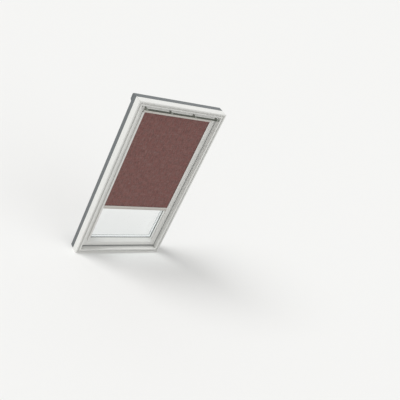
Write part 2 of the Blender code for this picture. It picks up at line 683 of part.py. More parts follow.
def make_frame_covers():
    """Outer covers of the frame: above the pivot their flanges lap over the sash."""
    flat_y = BACK_FACE + COVER_STEP
    side_end = BACK_FACE - COVER_LAP + COVER_SHEET
    outer_x = OUTER_X - COVER_SHEET / 2
    hood_start = FRAME_HEIGHT - FRAME_WALL - HOOD_LAP
    for side_name, side in SIDES.items():
        path = [(side * (INNER_X - FLANGE_LAP), flat_y), (side * outer_x, flat_y),
                (side * outer_x, side_end)]
        cover = folded(f"jamb_cover_{side_name}", path, "Z", COVER_SHEET + 2 * GAP,
                       hood_start - COVER_SHEET, COVER_SHEET, GREY_COVER)
        cut(cover, box(f"flange_cut_{side_name}",
                       mirrored(side, (INNER_X - 2 * FLANGE_LAP, INNER_X)),
                       (flat_y - COVER_SHEET, flat_y + COVER_SHEET),
                       (0, PIVOT.z + WING_FROM_PIVOT)))
    sill_half = INNER_X - GAP
    folded("sill_cover", [(flat_y, FRAME_WALL), (flat_y, COVER_SHEET / 2),
                          (side_end, COVER_SHEET / 2)], "X", -sill_half, sill_half, COVER_SHEET,
           GREY_COVER)
    hood_top = BACK_FACE + HOOD_HEIGHT
    outer_z = FRAME_HEIGHT - COVER_SHEET / 2
    head = [(flat_y, hood_start), (hood_top, hood_start + HOOD_SLOPE),
            (hood_top, outer_z - HOOD_SLOPE), (hood_top - HOOD_SLOPE, outer_z),
            (side_end, outer_z)]
    folded("head_cover", head, "X", -OUTER_X, OUTER_X, COVER_SHEET, GREY_COVER)
    inset = COVER_SHEET / 2 + GAP
    start = BACK_FACE + GAP
    cap = [(start, hood_start + 2 * COVER_SHEET),
           (hood_top - inset, hood_start + HOOD_SLOPE + inset),
           (hood_top - inset, outer_z - HOOD_SLOPE - inset / 2),
           (hood_top - HOOD_SLOPE - inset / 2, outer_z - inset), (start, outer_z - inset)]
    for side_name, side in SIDES.items():
        extruded(f"hood_end_{side_name}", [cap], "X",
                 *mirrored(side, (OUTER_X - COVER_SHEET, OUTER_X)), GREY_COVER)


def make_vent():
    """Vent flap on its bead, with the arms and the control bar; and the bearing rail."""
    axis = (FLAP_AXIS.y, FLAP_AXIS.z)
    flap_back = axis[0] + FLAP_THICKNESS / 2
    face_back = FLAP_FRONT + FLAP_THICKNESS
    face_bottom = axis[1] - FLAP_APRON
    web_top = FLAP_BOTTOM + FLAP_THICKNESS
    neck = BEAD_NECK / 2
    neck_angle = math.acos(neck / BEAD_RADIUS)
    bead = arc(axis, BEAD_RADIUS, math.pi - neck_angle, 2 * math.pi + neck_angle, 14)
    outline = bead + [(axis[0] + neck, FLAP_BOTTOM), (flap_back, FLAP_BOTTOM),
                      (flap_back, web_top), (face_back, web_top), (face_back, FLAP_TOP),
                      (FLAP_FRONT, FLAP_TOP), (FLAP_FRONT, face_bottom),
                      (face_back, face_bottom), (face_back, FLAP_BOTTOM),
                      (axis[0] - neck, FLAP_BOTTOM)]
    flap = extruded("vent_flap", [outline], "X", -FLAP_X, FLAP_X, WHITE_LACQUER)
    inner = BEAD_RADIUS + RUN
    start = BEARING_OPEN_TO
    end = BEARING_OPEN_FROM + 2 * math.pi
    rail = (arc(axis, inner, start, end, 16) + arc(axis, inner + BEARING_WALL, end, start, 16))
    bearing = extruded("flap_bearing", [rail], "X", -BEARING_X, BEARING_X, PLASTIC)
    pieces = [flap]
    bar_z = (BAR_BOTTOM, BAR_BOTTOM + BAR_HEIGHT)
    section = rounded([(BAR_BACK, bar_z[0], BAR_EDGE / 2), (BAR_BACK, bar_z[1], BAR_EDGE / 2),
                       (BAR_FRONT, bar_z[1], BAR_EDGE), (BAR_FRONT, bar_z[0], BAR_EDGE)], 4)
    pieces.append(extruded("control_bar", [section], "X", -BAR_X, BAR_X, BAR_FINISH))
    for side_name, side in SIDES.items():
        cap_x = mirrored(side, (BAR_X + GAP, BAR_X + GAP + BAR_CAP))
        pieces.append(extruded(f"bar_cap_{side_name}", [section], "X", *cap_x, BAR_PLASTIC))
    flap_front = FLAP_FRONT - GAP
    foot_z = (FLAP_TOP + face_bottom - ARM_FOOT_HEIGHT) / 2
    arm_z = (foot_z + ARM_FOOT_HEIGHT / 2 - ARM_THICKNESS / 2,
             foot_z + ARM_FOOT_HEIGHT / 2 + ARM_THICKNESS / 2)
    bar_side = BAR_BACK + GAP
    flap_foot = flap_front - ARM_FOOT
    bar_foot = bar_side + ARM_FOOT
    clip_y = (BAR_FRONT - GAP - ARM_CLIP, BAR_FRONT - GAP)
    clip_top = bar_z[1] + GAP + ARM_CLIP
    clip_edge = ARM_CLIP / 2
    fillet = ARM_FOOT
    arm = rounded([
        (flap_front, foot_z), (flap_front, foot_z + ARM_FOOT_HEIGHT),
        (flap_foot, foot_z + ARM_FOOT_HEIGHT), (flap_foot, arm_z[1], fillet),
        (bar_foot, arm_z[1], fillet), (bar_foot, clip_top, clip_edge),
        (clip_y[0], clip_top, clip_edge), (clip_y[0], bar_z[0]), (clip_y[1], bar_z[0]),
        (clip_y[1], bar_z[1] + GAP), (bar_side, bar_z[1] + GAP), (bar_side, bar_z[0]),
        (bar_foot, bar_z[0]), (bar_foot, arm_z[0], fillet), (flap_foot, arm_z[0], fillet),
        (flap_foot, foot_z)], 2)
    for index in range(ARM_COUNT):
        middle = (index - (ARM_COUNT - 1) / 2) * ARM_SPACING
        pieces.append(extruded(f"bar_bracket_{index + 1}", [arm], "X", middle - ARM_WIDTH / 2,
                               middle + ARM_WIDTH / 2, BAR_PLASTIC))
    return pieces, bearing


def make_casing():
    """Blind casing: an extrusion open below at the front, closed by its two ends."""
    wall = BLIND_SHEET
    slot_back = CASING_FRONT + CASING_SLOT
    section = rounded([
        (CASING_FRONT, CASING_BOTTOM), (CASING_FRONT, CASING_TOP, CASING_EDGE),
        (CASING_BACK, CASING_TOP, CASING_EDGE), (CASING_BACK, CASING_BOTTOM),
        (slot_back, CASING_BOTTOM), (slot_back, CASING_BOTTOM + wall),
        (CASING_BACK - wall, CASING_BOTTOM + wall),
        (CASING_BACK - wall, CASING_TOP - wall, CASING_EDGE - wall),
        (CASING_FRONT + wall, CASING_TOP - wall, CASING_EDGE - wall),
        (CASING_FRONT + wall, CASING_BOTTOM)], 4)
    pieces = [extruded("blind_casing", [section], "X", -CASING_X, CASING_X, BLIND_WHITE)]
    end = rounded([
        (CASING_FRONT, CASING_BOTTOM), (CASING_FRONT, CASING_TOP, CASING_EDGE),
        (CASING_BACK, CASING_TOP, CASING_EDGE), (CASING_BACK, CASING_BOTTOM)], 4)
    for side_name, side in SIDES.items():
        pieces.append(extruded(f"casing_end_{side_name}", [end], "X",
                               *mirrored(side, (CASING_X + GAP, CASING_END_X)), PLASTIC))
    return pieces


def make_channels():
    """Side channels: a slot for the fabric's edge, a face on the stile and a leg inside it."""
    wall = BLIND_SHEET
    slot = CHANNEL_SLOT_Y
    face_x = CHANNEL_INNER + CHANNEL_FACE
    leg_y = CASING_FRONT + CHANNEL_LEG
    rest_y = SASH_FRONT - GAP
    top = CASING_BOTTOM - GAP
    bottom = CHANNEL_BOTTOM
    pieces = []
    for side_name, side in SIDES.items():
        half_section = [
            (CHANNEL_INNER, CASING_FRONT), (face_x, CASING_FRONT), (face_x, rest_y),
            (face_x - wall, rest_y), (face_x - wall, slot[0]), (CHANNEL_OUTER, slot[0]),
            (CHANNEL_OUTER, leg_y), (CHANNEL_WEB, leg_y), (CHANNEL_WEB, slot[1] + wall),
            (CHANNEL_INNER, slot[1] + wall), (CHANNEL_INNER, slot[1]), (CHANNEL_WEB, slot[1]),
            (CHANNEL_WEB, slot[0]), (CHANNEL_INNER, slot[0])]
        section = [(side * across, along) for across, along in half_section]
        pieces.append(extruded(f"side_channel_{side_name}", [section], "Z", bottom, top,
                               BLIND_WHITE))
        pieces.append(box(f"channel_stop_{side_name}",
                          mirrored(side, (CHANNEL_INNER, CHANNEL_WEB - GAP)),
                          (slot[0] + GAP, slot[1] - GAP), (bottom, bottom + CHANNEL_STOP),
                          PLASTIC))
    return pieces


def make_bottom_bar():
    """Bottom bar with the fabric's slot and a finger lip, and a glider at each end."""
    front = CASING_FRONT
    back = front + BOTTOM_BAR_DEPTH
    bottom = BAR_Z
    top = BOTTOM_BAR_TOP
    slot = (FABRIC_Y[0] - GAP, FABRIC_Y[1] + GAP)
    lip_tip = front - FINGER_LIP
    lip = [(front, bottom + FINGER_LIP_ROOT), (lip_tip, bottom + FINGER_LIP_THICKNESS),
           (lip_tip, bottom)]
    bar = extruded("bottom_bar", [rounded([
        (back, bottom), (back, top), (slot[1], top), (slot[1], top - BOTTOM_BAR_SLOT),
        (slot[0], top - BOTTOM_BAR_SLOT), (slot[0], top), (front, top)] + lip)], "X",
        -BOTTOM_BAR_X, BOTTOM_BAR_X, BLIND_WHITE)
    pieces = [bar]
    cap = [(back, bottom), (back, top), (front, top)] + lip
    for side_name, side in SIDES.items():
        start = BOTTOM_BAR_X + GAP
        glider = extruded(f"bar_glider_{side_name}", [cap], "X",
                          *mirrored(side, (start, start + GLIDER_CAP)), PLASTIC)
        tongue = box(f"glider_tongue_{side_name}",
                     mirrored(side, (start + GLIDER_CAP / 2, CHANNEL_WEB - GAP)),
                     (CHANNEL_SLOT_Y[0] + GAP, CHANNEL_SLOT_Y[1] - GAP),
                     (bottom + GLIDER_INSET, top - GLIDER_INSET))
        pieces.append(join(glider, tongue))
    return pieces


def make_fabric():
    """Stretched blind cloth from just under the roller to the bottom bar's slot."""
    hem = BOTTOM_BAR_TOP - BOTTOM_BAR_SLOT + GAP
    shoulder = BOTTOM_BAR_TOP + GAP
    half = [(BOTTOM_BAR_X, hem), (BOTTOM_BAR_X, shoulder), (FABRIC_X, shoulder),
            (FABRIC_X, FABRIC_TOP)]
    outline = half + [(-across, along) for across, along in reversed(half)]
    return extruded("blind_fabric", [outline], "Y", *FABRIC_Y, FLEECE)


def roll_outline():
    """Spiral of wound cloth, ending at the front where the cloth leaves downwards."""
    steps = int(24 * ROLL_TURNS)
    end_angle = math.pi
    inner = []
    outer = []
    for step in range(steps + 1):
        turns = ROLL_TURNS * step / steps
        angle = end_angle - 2 * math.pi * (ROLL_TURNS - turns)
        radius = ROLL_START_RADIUS + ROLL_PITCH * turns
        heading = Vector((math.cos(angle), math.sin(angle)))
        centre = Vector((ROLLER.y, ROLLER.z))
        inner.append(centre + heading * radius)
        outer.append(centre + heading * (radius + FABRIC))
    return outer + inner[::-1]


def make_roller():
    """Roller tube with its plugs, the wound cloth and the fixed spring that turns it."""
    tube_bore = ROLLER_RADIUS - ROLLER_WALL
    plug = tube_bore - GAP
    tube = turned("roller_tube", [(ROLLER_RADIUS, 0), (ROLLER_RADIUS, 2 * ROLLER_X),
                                  (tube_bore, 2 * ROLLER_X), (tube_bore, 0)], ROLLER, ROLLER_X, -1,
                  STEEL)
    pieces = [tube]
    plugs = (("idler_plug", -1, IDLER_PIN_RADIUS), ("spring_plug", 1, ARBOR_RADIUS))
    for name, side, shaft in plugs:
        bore = shaft + RUN
        pieces.append(turned(name, [
            (ROLLER_RADIUS, 0), (ROLLER_RADIUS, PLUG_FLANGE), (plug, PLUG_FLANGE),
            (plug, PLUG_LENGTH), (bore, PLUG_LENGTH), (bore, 0)], ROLLER,
            side * (ROLLER_X + GAP + PLUG_FLANGE), -side, PLASTIC))
    pieces.append(extruded("fabric_roll", [roll_outline()], "X", -FABRIC_X, FABRIC_X, FLEECE))
    anchor_x = CASING_X - ARBOR_LENGTH
    pieces.append(turned("spring_anchor", [
        (plug, 0), (plug, ANCHOR_LENGTH), (ARBOR_RADIUS + RUN, ANCHOR_LENGTH),
        (ARBOR_RADIUS + RUN, 0)], ROLLER, anchor_x + ANCHOR_LENGTH, -1, PLASTIC))
    return pieces


def make_roller_supports():
    """Pins fixed in the casing ends, and the torsion spring wound round the right one."""
    pin = rod("idler_pin", ROLLER, (-CASING_X, -CASING_X + IDLER_PIN_LENGTH), IDLER_PIN_RADIUS,
              STEEL)
    arbor_start = CASING_X - ARBOR_LENGTH
    arbor = rod("spring_arbor", ROLLER, (arbor_start, CASING_X), ARBOR_RADIUS, STEEL)
    collar_end = ROLLER_X + PLUG_FLANGE - PLUG_LENGTH - ARBOR_COLLAR
    collar_start = collar_end - ARBOR_COLLAR
    join(arbor, rod("arbor_collar", ROLLER, (collar_start, collar_end), ARBOR_COLLAR_RADIUS))
    first = arbor_start + ANCHOR_LENGTH + SPRING_WIRE + GAP
    last = collar_start - SPRING_WIRE - GAP
    curve = bpy.data.curves.new("roller_spring", "CURVE")
    curve.dimensions = "3D"
    curve.bevel_depth = SPRING_WIRE
    curve.bevel_resolution = 1
    curve.render_resolution_u = 0
    curve.use_fill_caps = True
    points = SPRING_TURNS * 10
    spline = curve.splines.new("POLY")
    spline.points.add(points)
    for index, point in enumerate(spline.points):
        angle = 2 * math.pi * SPRING_TURNS * index / points
        point.co = (first + (last - first) * index / points,
                    ROLLER.y + SPRING_RADIUS * math.cos(angle),
                    ROLLER.z + SPRING_RADIUS * math.sin(angle), 1)
    spring = placed("roller_spring", as_mesh(curve), STEEL)
    print("roller_spring: least gap between turns "
          f"{((last - first) / SPRING_TURNS - 2 * SPRING_WIRE) * 1000:.2f} mm")
    print(f"fabric_roll: gap between turns {(ROLL_PITCH - FABRIC) * 1000:.2f} mm")
    return [pin, arbor, spring]


def pivot_empty(name, location, parent=None):
    """Empty on a joint axis that carries the pieces which move about it."""
    empty = bpy.data.objects.new(name, None)
    PARTS.objects.link(empty)
    empty.matrix_basis = Matrix.Translation(location)
    if parent:
        hang(empty, parent)
    return empty


def hang(child, parent):
    """Parent an object without moving it."""
    bpy.context.view_layer.update()
    child.parent = parent
    child.matrix_parent_inverse = parent.matrix_world.inverted()


def smooth_round_pieces():
    """Shade the turned and rounded pieces smooth up to 40 degrees."""
    for piece in PARTS.objects:
        if piece.type == "MESH":
            piece.data.shade_smooth()
            piece.data.set_sharp_from_angle(angle=math.radians(40))


for old in list(bpy.data.objects):
    bpy.data.objects.remove(old)
PARTS = bpy.data.collections.new("roof_window_with_blind")
CUTTERS = bpy.data.collections.new("cutters")
bpy.context.scene.collection.children.link(PARTS)
bpy.context.scene.collection.children.link(CUTTERS)

make_frame()
make_frame_seal()
make_frame_covers()
sash = pivot_empty("sash_pivot", PIVOT)
vent = pivot_empty("vent_flap_hinge", FLAP_AXIS, sash)
roller = pivot_empty("roller_spin", ROLLER, sash)
bar_middle = Vector((0, CASING_FRONT + BOTTOM_BAR_DEPTH / 2, (BAR_Z + BOTTOM_BAR_TOP) / 2))
blind = pivot_empty("blind_slide", bar_middle, sash)

vent_pieces, flap_bearing = make_vent()
sash_pieces = (make_hinges() + make_stiles() + make_rails() + [make_latch()] + make_glazing()
               + make_sash_covers() + [flap_bearing] + make_casing() + make_channels()
               + make_roller_supports())
for part in sash_pieces:
    hang(part, sash)
for part in vent_pieces:
    hang(part, vent)
for part in make_roller():
    hang(part, roller)
for part in make_bottom_bar() + [make_fabric()]:
    hang(part, blind)
smooth_round_pieces()
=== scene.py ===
"""Looks of the centre-pivot roof window and of the roller blind that hangs in its sash.

Metres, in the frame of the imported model: X runs across the window and Z up it, and its room
side faces -Y. The sections follow the window as it is put together.
"""

import math

import bpy
from mathutils import Matrix, Quaternion, Vector, noise
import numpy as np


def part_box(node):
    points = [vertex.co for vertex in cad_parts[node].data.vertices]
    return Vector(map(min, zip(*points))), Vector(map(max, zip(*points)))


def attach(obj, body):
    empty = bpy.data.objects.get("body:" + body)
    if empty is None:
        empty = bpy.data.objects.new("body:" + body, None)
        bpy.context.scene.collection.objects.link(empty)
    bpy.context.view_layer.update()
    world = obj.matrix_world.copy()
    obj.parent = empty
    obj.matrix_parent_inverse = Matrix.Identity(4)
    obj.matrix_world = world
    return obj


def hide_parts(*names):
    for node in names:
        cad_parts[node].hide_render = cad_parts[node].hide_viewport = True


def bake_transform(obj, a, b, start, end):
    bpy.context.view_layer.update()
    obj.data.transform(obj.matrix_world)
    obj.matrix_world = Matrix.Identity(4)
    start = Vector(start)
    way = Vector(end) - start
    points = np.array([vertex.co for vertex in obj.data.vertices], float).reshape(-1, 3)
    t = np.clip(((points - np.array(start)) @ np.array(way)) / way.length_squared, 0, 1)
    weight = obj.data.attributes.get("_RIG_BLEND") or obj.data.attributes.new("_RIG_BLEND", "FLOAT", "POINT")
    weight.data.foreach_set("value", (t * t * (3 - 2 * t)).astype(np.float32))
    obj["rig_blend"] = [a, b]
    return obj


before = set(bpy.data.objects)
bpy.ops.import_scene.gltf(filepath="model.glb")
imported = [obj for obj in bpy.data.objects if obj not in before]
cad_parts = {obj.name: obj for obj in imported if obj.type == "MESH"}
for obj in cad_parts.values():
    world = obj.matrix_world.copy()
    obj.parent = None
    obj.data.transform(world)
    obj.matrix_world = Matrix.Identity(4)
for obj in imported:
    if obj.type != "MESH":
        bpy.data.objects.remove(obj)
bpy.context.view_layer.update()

# Camera
# It stands where the photograph was taken: on the window's room side, in front of its left
# half, looking down across it. The roll is the lean at which the window is seen.
EYE = Vector((-2.634, -3.287, 2.993))
AIM = Vector((0.610, 0.0, 0.544))
ROLL = math.radians(27.7)
LENS = 55.1
FAR_SIGHT = 500

bpy.ops.object.camera_add(location=EYE)
camera = bpy.context.object
camera.name = "photograph_camera"
camera.rotation_mode = "QUATERNION"
camera.rotation_quaternion = (AIM - EYE).to_track_quat("-Z", "Y") @ Quaternion((0, 0, 1), ROLL)
camera.data.lens = LENS
camera.data.clip_end = FAR_SIGHT
bpy.context.scene.camera = camera
bpy.context.scene.view_settings.view_transform = "Standard"

# Floor
# A plain pale studio floor, matt, that runs to the horizon. The window stands on it on the
# underside of its sill, just clear of it.
FLOOR_REACH = 200
FLOOR_DROP = 0.0005
FLOOR_PAINT = "#ECECEB"


def hex_colour(text):
    """Linear red, green, blue and alpha of an sRGB hex colour."""
    parts = [int(text[i:i + 2], 16) / 255 for i in (1, 3, 5)]
    linear = [p / 12.92 if p <= 0.04045 else ((p + 0.055) / 1.055) ** 2.4 for p in parts]
    return (*linear, 1.0)


def new_material(name, colour, roughness, metallic=0.0, **sockets):
    """Principled material with its even values set on the shader's own sockets."""
    material = bpy.data.materials.new(name)
    material.use_nodes = True
    shader = material.node_tree.nodes["Principled BSDF"]
    shader.inputs["Base Color"].default_value = hex_colour(colour)
    shader.inputs["Roughness"].default_value = roughness
    shader.inputs["Metallic"].default_value = metallic
    for socket, value in sockets.items():
        shader.inputs[socket.replace("_", " ")].default_value = value
    return material


bpy.ops.object.select_all(action="DESELECT")
bpy.ops.mesh.primitive_plane_add(size=2 * FLOOR_REACH, location=(0, 0, -FLOOR_DROP))
floor = bpy.context.object
floor.name = "studio_floor"
bpy.ops.object.transform_apply(location=True, rotation=False, scale=False)
floor.data.materials.append(new_material("floor_paint", FLOOR_PAINT, roughness=0.95,
                                         Specular_IOR_Level=0.0))

# Lamps
# A pale studio dome fills every side evenly. One wide soft lamp stands high on the outer
# side, so that the glass is bright and the inner faces keep a soft shade. A weaker one on
# the room side lifts that shade.
DOME = "#F6F6F5"
DOME_STRENGTH = 0.63
BACKDROP_STRENGTH = 0.99  # as bright as the floor looks, where the dome is seen itself
KEY_STRENGTH = 1.8
KEY_ANGLE = math.radians(35)
KEY_FROM = Vector((-0.55, 0.26, 0.79))
FILL_STRENGTH = 0.36
FILL_ANGLE = math.radians(60)
FILL_FROM = Vector((0.4, -0.9, 0.6))


def add_node(tree, kind, inputs=(), **settings):
    """Add a shader node. inputs gives each socket a value, another node's first output by
    naming that node, or any socket that feeds it."""
    made = tree.nodes.new(kind)
    for name, value in settings.items():
        setattr(made, name, value)
    for key, value in dict(inputs).items():
        if isinstance(value, bpy.types.Node):
            value = value.outputs[0]
        if isinstance(value, bpy.types.NodeSocket):
            tree.links.new(value, made.inputs[key])
        else:
            made.inputs[key].default_value = value
    return made


world = bpy.data.worlds.new("studio_dome")
bpy.context.scene.world = world
world.use_nodes = True
dome = world.node_tree.nodes["Background"]
dome.inputs["Color"].default_value = hex_colour(DOME)
rays = add_node(world.node_tree, "ShaderNodeLightPath")
seen = rays.outputs["Is Camera Ray"]
for kind_of_ray in ("Is Glossy Ray", "Is Transmission Ray"):
    seen = add_node(world.node_tree, "ShaderNodeMath", {0: seen, 1: rays.outputs[kind_of_ray]},
                    operation="MAXIMUM")
glow = add_node(world.node_tree, "ShaderNodeMapRange",
                {"Value": seen, "To Min": DOME_STRENGTH, "To Max": BACKDROP_STRENGTH})
world.node_tree.links.new(glow.outputs[0], dome.inputs["Strength"])
for lamp_name, strength, angle, source in (
        ("high_soft_lamp", KEY_STRENGTH, KEY_ANGLE, KEY_FROM),
        ("room_soft_lamp", FILL_STRENGTH, FILL_ANGLE, FILL_FROM)):
    bpy.ops.object.light_add(type="SUN", location=source)
    lamp = bpy.context.object
    lamp.name = lamp_name
    lamp.rotation_euler = (-source).to_track_quat("-Z", "Y").to_euler()
    lamp.data.energy = strength
    lamp.data.angle = angle

# Frame
# Four mitred members of laminated pine, planed, primed and sprayed with white lacquer. The
# lacquer is satin and smooth; the long grain under it shows only as a faint ripple.
LACQUER = "#E6E6E3"
LACQUER_SHADE = "#DDDDDA"
LACQUER_ROUGHNESS = 0.42
LACQUER_GLOSS = (0.37, 0.48)  # roughness over hard and over soft grain
GRAIN_ACROSS = 0.006  # pine's rings stand 2 to 4 mm apart; drawn wider, so that they show
GRAIN_ALONG = 0.25
GRAIN_HEIGHT = 0.00012
GRAIN_STRENGTH = 0.35
PEEL = 0.0022  # the ripple of a sprayed coat is about 2 mm wide
PEEL_SHARE = 0.3
CLOUD = 0.09  # slow change of tone over a sprayed face
NOISE_LOW = 0.3  # nearly all of a noise lies between these two values
NOISE_HIGH = 0.7
ARRIS = 0.0009  # rounding that sanding leaves on an edge
SAME_POINT = 0.000002
FLAT_WITHIN = math.radians(0.5)
SHARP_FROM = math.radians(32)
SMOOTH_UP_TO = math.radians(40)


def feed(material, **sources):
    """Lead nodes into a material's shader. Each name is a socket, with _ for a space."""
    tree = material.node_tree
    for socket, source in sources.items():
        tree.links.new(source.outputs[0],
                       tree.nodes["Principled BSDF"].inputs[socket.replace("_", " ")])


def lacquered_pine(name, along):
    """Sprayed white lacquer over pine: satin and even, with a faint ripple along the grain,
    which runs along X or Z."""
    material = new_material(name, LACQUER, LACQUER_ROUGHNESS, IOR=1.5)
    tree = material.node_tree
    place = add_node(tree, "ShaderNodeTexCoord").outputs["Object"]
    sizes = {"X": (GRAIN_ALONG, GRAIN_ACROSS, GRAIN_ACROSS),
             "Z": (GRAIN_ACROSS, GRAIN_ACROSS, GRAIN_ALONG)}[along]
    stretched = add_node(tree, "ShaderNodeMapping",
                         {"Vector": place, "Scale": [1 / size for size in sizes]})
    grain = add_node(tree, "ShaderNodeTexNoise",
                     {"Vector": stretched, "Scale": 1.0, "Detail": 3.0})
    peel = add_node(tree, "ShaderNodeTexNoise",
                    {"Vector": place, "Scale": 1 / PEEL, "Detail": 1.0})
    relief = add_node(tree, "ShaderNodeMath", {0: peel, 1: PEEL_SHARE, 2: grain},
                      operation="MULTIPLY_ADD")
    bump = add_node(tree, "ShaderNodeBump",
                    {"Height": relief, "Strength": GRAIN_STRENGTH, "Distance": GRAIN_HEIGHT})
    cloud = add_node(tree, "ShaderNodeTexNoise",
                     {"Vector": place, "Scale": 1 / CLOUD, "Detail": 2.0})
    tone = add_node(tree, "ShaderNodeMixRGB",
                    {"Fac": cloud, "Color1": hex_colour(LACQUER),
                     "Color2": hex_colour(LACQUER_SHADE)})
    gloss = add_node(tree, "ShaderNodeMapRange",
                     {"Value": grain, "From Min": NOISE_LOW, "From Max": NOISE_HIGH,
                      "To Min": LACQUER_GLOSS[0], "To Max": LACQUER_GLOSS[1]})
    feed(material, Base_Color=tone, Roughness=gloss, Normal=bump)
    return material


def select_only(piece):
    """Make one object the selected and active one."""
    bpy.ops.object.select_all(action="DESELECT")
    piece.select_set(True)
    bpy.context.view_layer.objects.active = piece


def eased(node, prefix, rounding, segments=2):
    """Copy of a CAD node with its flat faces whole again and its sharp edges rounded."""
    piece = bpy.data.objects.new(f"{prefix}_{node}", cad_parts[node].data.copy())
    bpy.context.scene.collection.objects.link(piece)
    select_only(piece)
    bpy.ops.object.mode_set(mode="EDIT")
    bpy.ops.mesh.select_all(action="SELECT")
    bpy.ops.mesh.remove_doubles(threshold=SAME_POINT)
    bpy.ops.mesh.dissolve_limited(angle_limit=FLAT_WITHIN)
    bpy.ops.object.mode_set(mode="OBJECT")
    bevel = piece.modifiers.new("rounding", "BEVEL")
    bevel.width = rounding
    bevel.segments = segments
    bevel.limit_method = "ANGLE"
    bevel.angle_limit = SHARP_FROM
    bpy.ops.object.modifier_apply(modifier=bevel.name)
    bpy.ops.object.shade_smooth_by_angle(angle=SMOOTH_UP_TO)
    even = piece.modifiers.new("even_faces", "WEIGHTED_NORMAL")
    even.keep_sharp = True
    bpy.ops.object.modifier_apply(modifier=even.name)
    return piece


def finish_with(piece, material, slot, body, *nodes):
    """Give a piece its material and let it ride in place of its CAD nodes. The slot is not used."""
    piece.data.materials.clear()
    piece.data.materials.append(material)
    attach(piece, body)
    if nodes:
        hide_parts(*nodes)


def repaint(node, material):
    """Give a CAD node that stays its finished material."""
    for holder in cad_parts[node].material_slots:
        holder.material = material


pine_across = lacquered_pine("lacquered_pine_across", "X")
pine_upright = lacquered_pine("lacquered_pine_upright", "Z")
for member, material in (("frame_head", pine_across), ("frame_sill", pine_across),
                         ("frame_jamb_left", pine_upright), ("frame_jamb_right", pine_upright)):
    finish_with(eased(member, "lacquered", ARRIS), material, "white_lacquer", "frame", member)

# Frame seal
# One extruded rubber profile pushed into the groove all round the frame, with a soft round
# lip that the sash closes on. Its skin is matt and slightly grainy from the die.
SEAL_RUBBER = "#9C9E9F"
SEAL_LIP_ROUNDING = 0.0012
RUBBER_GRAIN = 0.0012  # the die leaves a grain of about 0.2 mm; drawn coarser, so that it shows
RUBBER_GRAIN_DEPTH = 0.0001
SKIN_STRENGTH = 0.4
SKIN_UNEVEN = 0.06  # how far the roughness of a moulded skin strays to either side


def moulded(name, colour, roughness, grain, depth):
    """Rubber, foam or plastic, whose fine skin from its mould or die breaks up the gloss."""
    material = new_material(name, colour, roughness)
    tree = material.node_tree
    place = add_node(tree, "ShaderNodeTexCoord").outputs["Object"]
    skin = add_node(tree, "ShaderNodeTexNoise",
                    {"Vector": place, "Scale": 1 / grain, "Detail": 2.0})
    bump = add_node(tree, "ShaderNodeBump",
                    {"Height": skin, "Strength": SKIN_STRENGTH, "Distance": depth})
    gloss = add_node(tree, "ShaderNodeMapRange",
                     {"Value": skin, "From Min": NOISE_LOW, "From Max": NOISE_HIGH,
                      "To Min": roughness - SKIN_UNEVEN, "To Max": roughness + SKIN_UNEVEN})
    feed(material, Roughness=gloss, Normal=bump)
    return material


seal_rubber = moulded("extruded_seal_rubber", SEAL_RUBBER, roughness=0.7, grain=RUBBER_GRAIN,
                      depth=RUBBER_GRAIN_DEPTH)
finish_with(eased("frame_seal", "extruded", SEAL_LIP_ROUNDING, segments=3), seal_rubber,
            "seal_rubber", "frame", "frame_seal")

# Pivot hinges
# Pressed steel plates let into the jambs and the stiles, zinc plated and passivated, each
# held by four countersunk screws. The frame's plate carries the pin.
ZINC = "#B4B7B9"
ZINC_CLOUD = "#9EA2A6"
ZINC_ROUGHNESS = 0.34
ZINC_GLOSS = (0.26, 0.44)
ZINC_CLOUD_SIZE = 0.012  # the bath leaves clouds of about a centimetre
PLATE = 0.0024
PLATE_EDGE = 0.0003
SCREW_HEAD = 0.0038
SCREW_HEIGHT = 0.0022
SCREW_SIDES = 24
SCREW_SMOOTH_UP_TO = math.radians(35)
SCREW_CROWN = 0.0003
CROWN_STEPS = ((0.25, 0.7), (0.35, 0.3))  # inset by the head's radius and rise by the crown
SCREW_PROUD = 0.0001
RECESS_ARM = 0.0044
RECESS_WIDTH = 0.0009
RECESS_DEPTH = 0.0011
HINGE_SCREWS = (-0.047, -0.027, 0.027, 0.047)
ALONG_AXIS = 0.9  # cosine from which a normal or an edge counts as along an axis


def zinc_plate(name):
    """Zinc plate: a grey metal, with soft clouds in tone and gloss from the bath."""
    material = new_material(name, ZINC, ZINC_ROUGHNESS, metallic=1.0)
    tree = material.node_tree
    place = add_node(tree, "ShaderNodeTexCoord").outputs["Object"]
    clouds = add_node(tree, "ShaderNodeTexNoise",
                      {"Vector": place, "Scale": 1 / ZINC_CLOUD_SIZE, "Detail": 3.0})
    tone = add_node(tree, "ShaderNodeMixRGB",
                    {"Fac": clouds, "Color1": hex_colour(ZINC),
                     "Color2": hex_colour(ZINC_CLOUD)})
    gloss = add_node(tree, "ShaderNodeMapRange",
                     {"Value": clouds, "From Min": NOISE_LOW, "From Max": NOISE_HIGH,
                      "To Min": ZINC_GLOSS[0], "To Max": ZINC_GLOSS[1]})
    feed(material, Base_Color=tone, Roughness=gloss)
    return material


def select_parts(piece, kind, wanted):
    """Open edit mode with only the faces or edges selected that pass a test."""
    select_only(piece)
    bpy.ops.object.mode_set(mode="EDIT")
    bpy.ops.mesh.select_all(action="DESELECT")
    bpy.ops.mesh.select_mode(type=kind)
    bpy.ops.object.mode_set(mode="OBJECT")
    parts = piece.data.polygons if kind == "FACE" else piece.data.edges
    for part in parts:
        part.select = wanted(part)
    bpy.ops.object.mode_set(mode="EDIT")


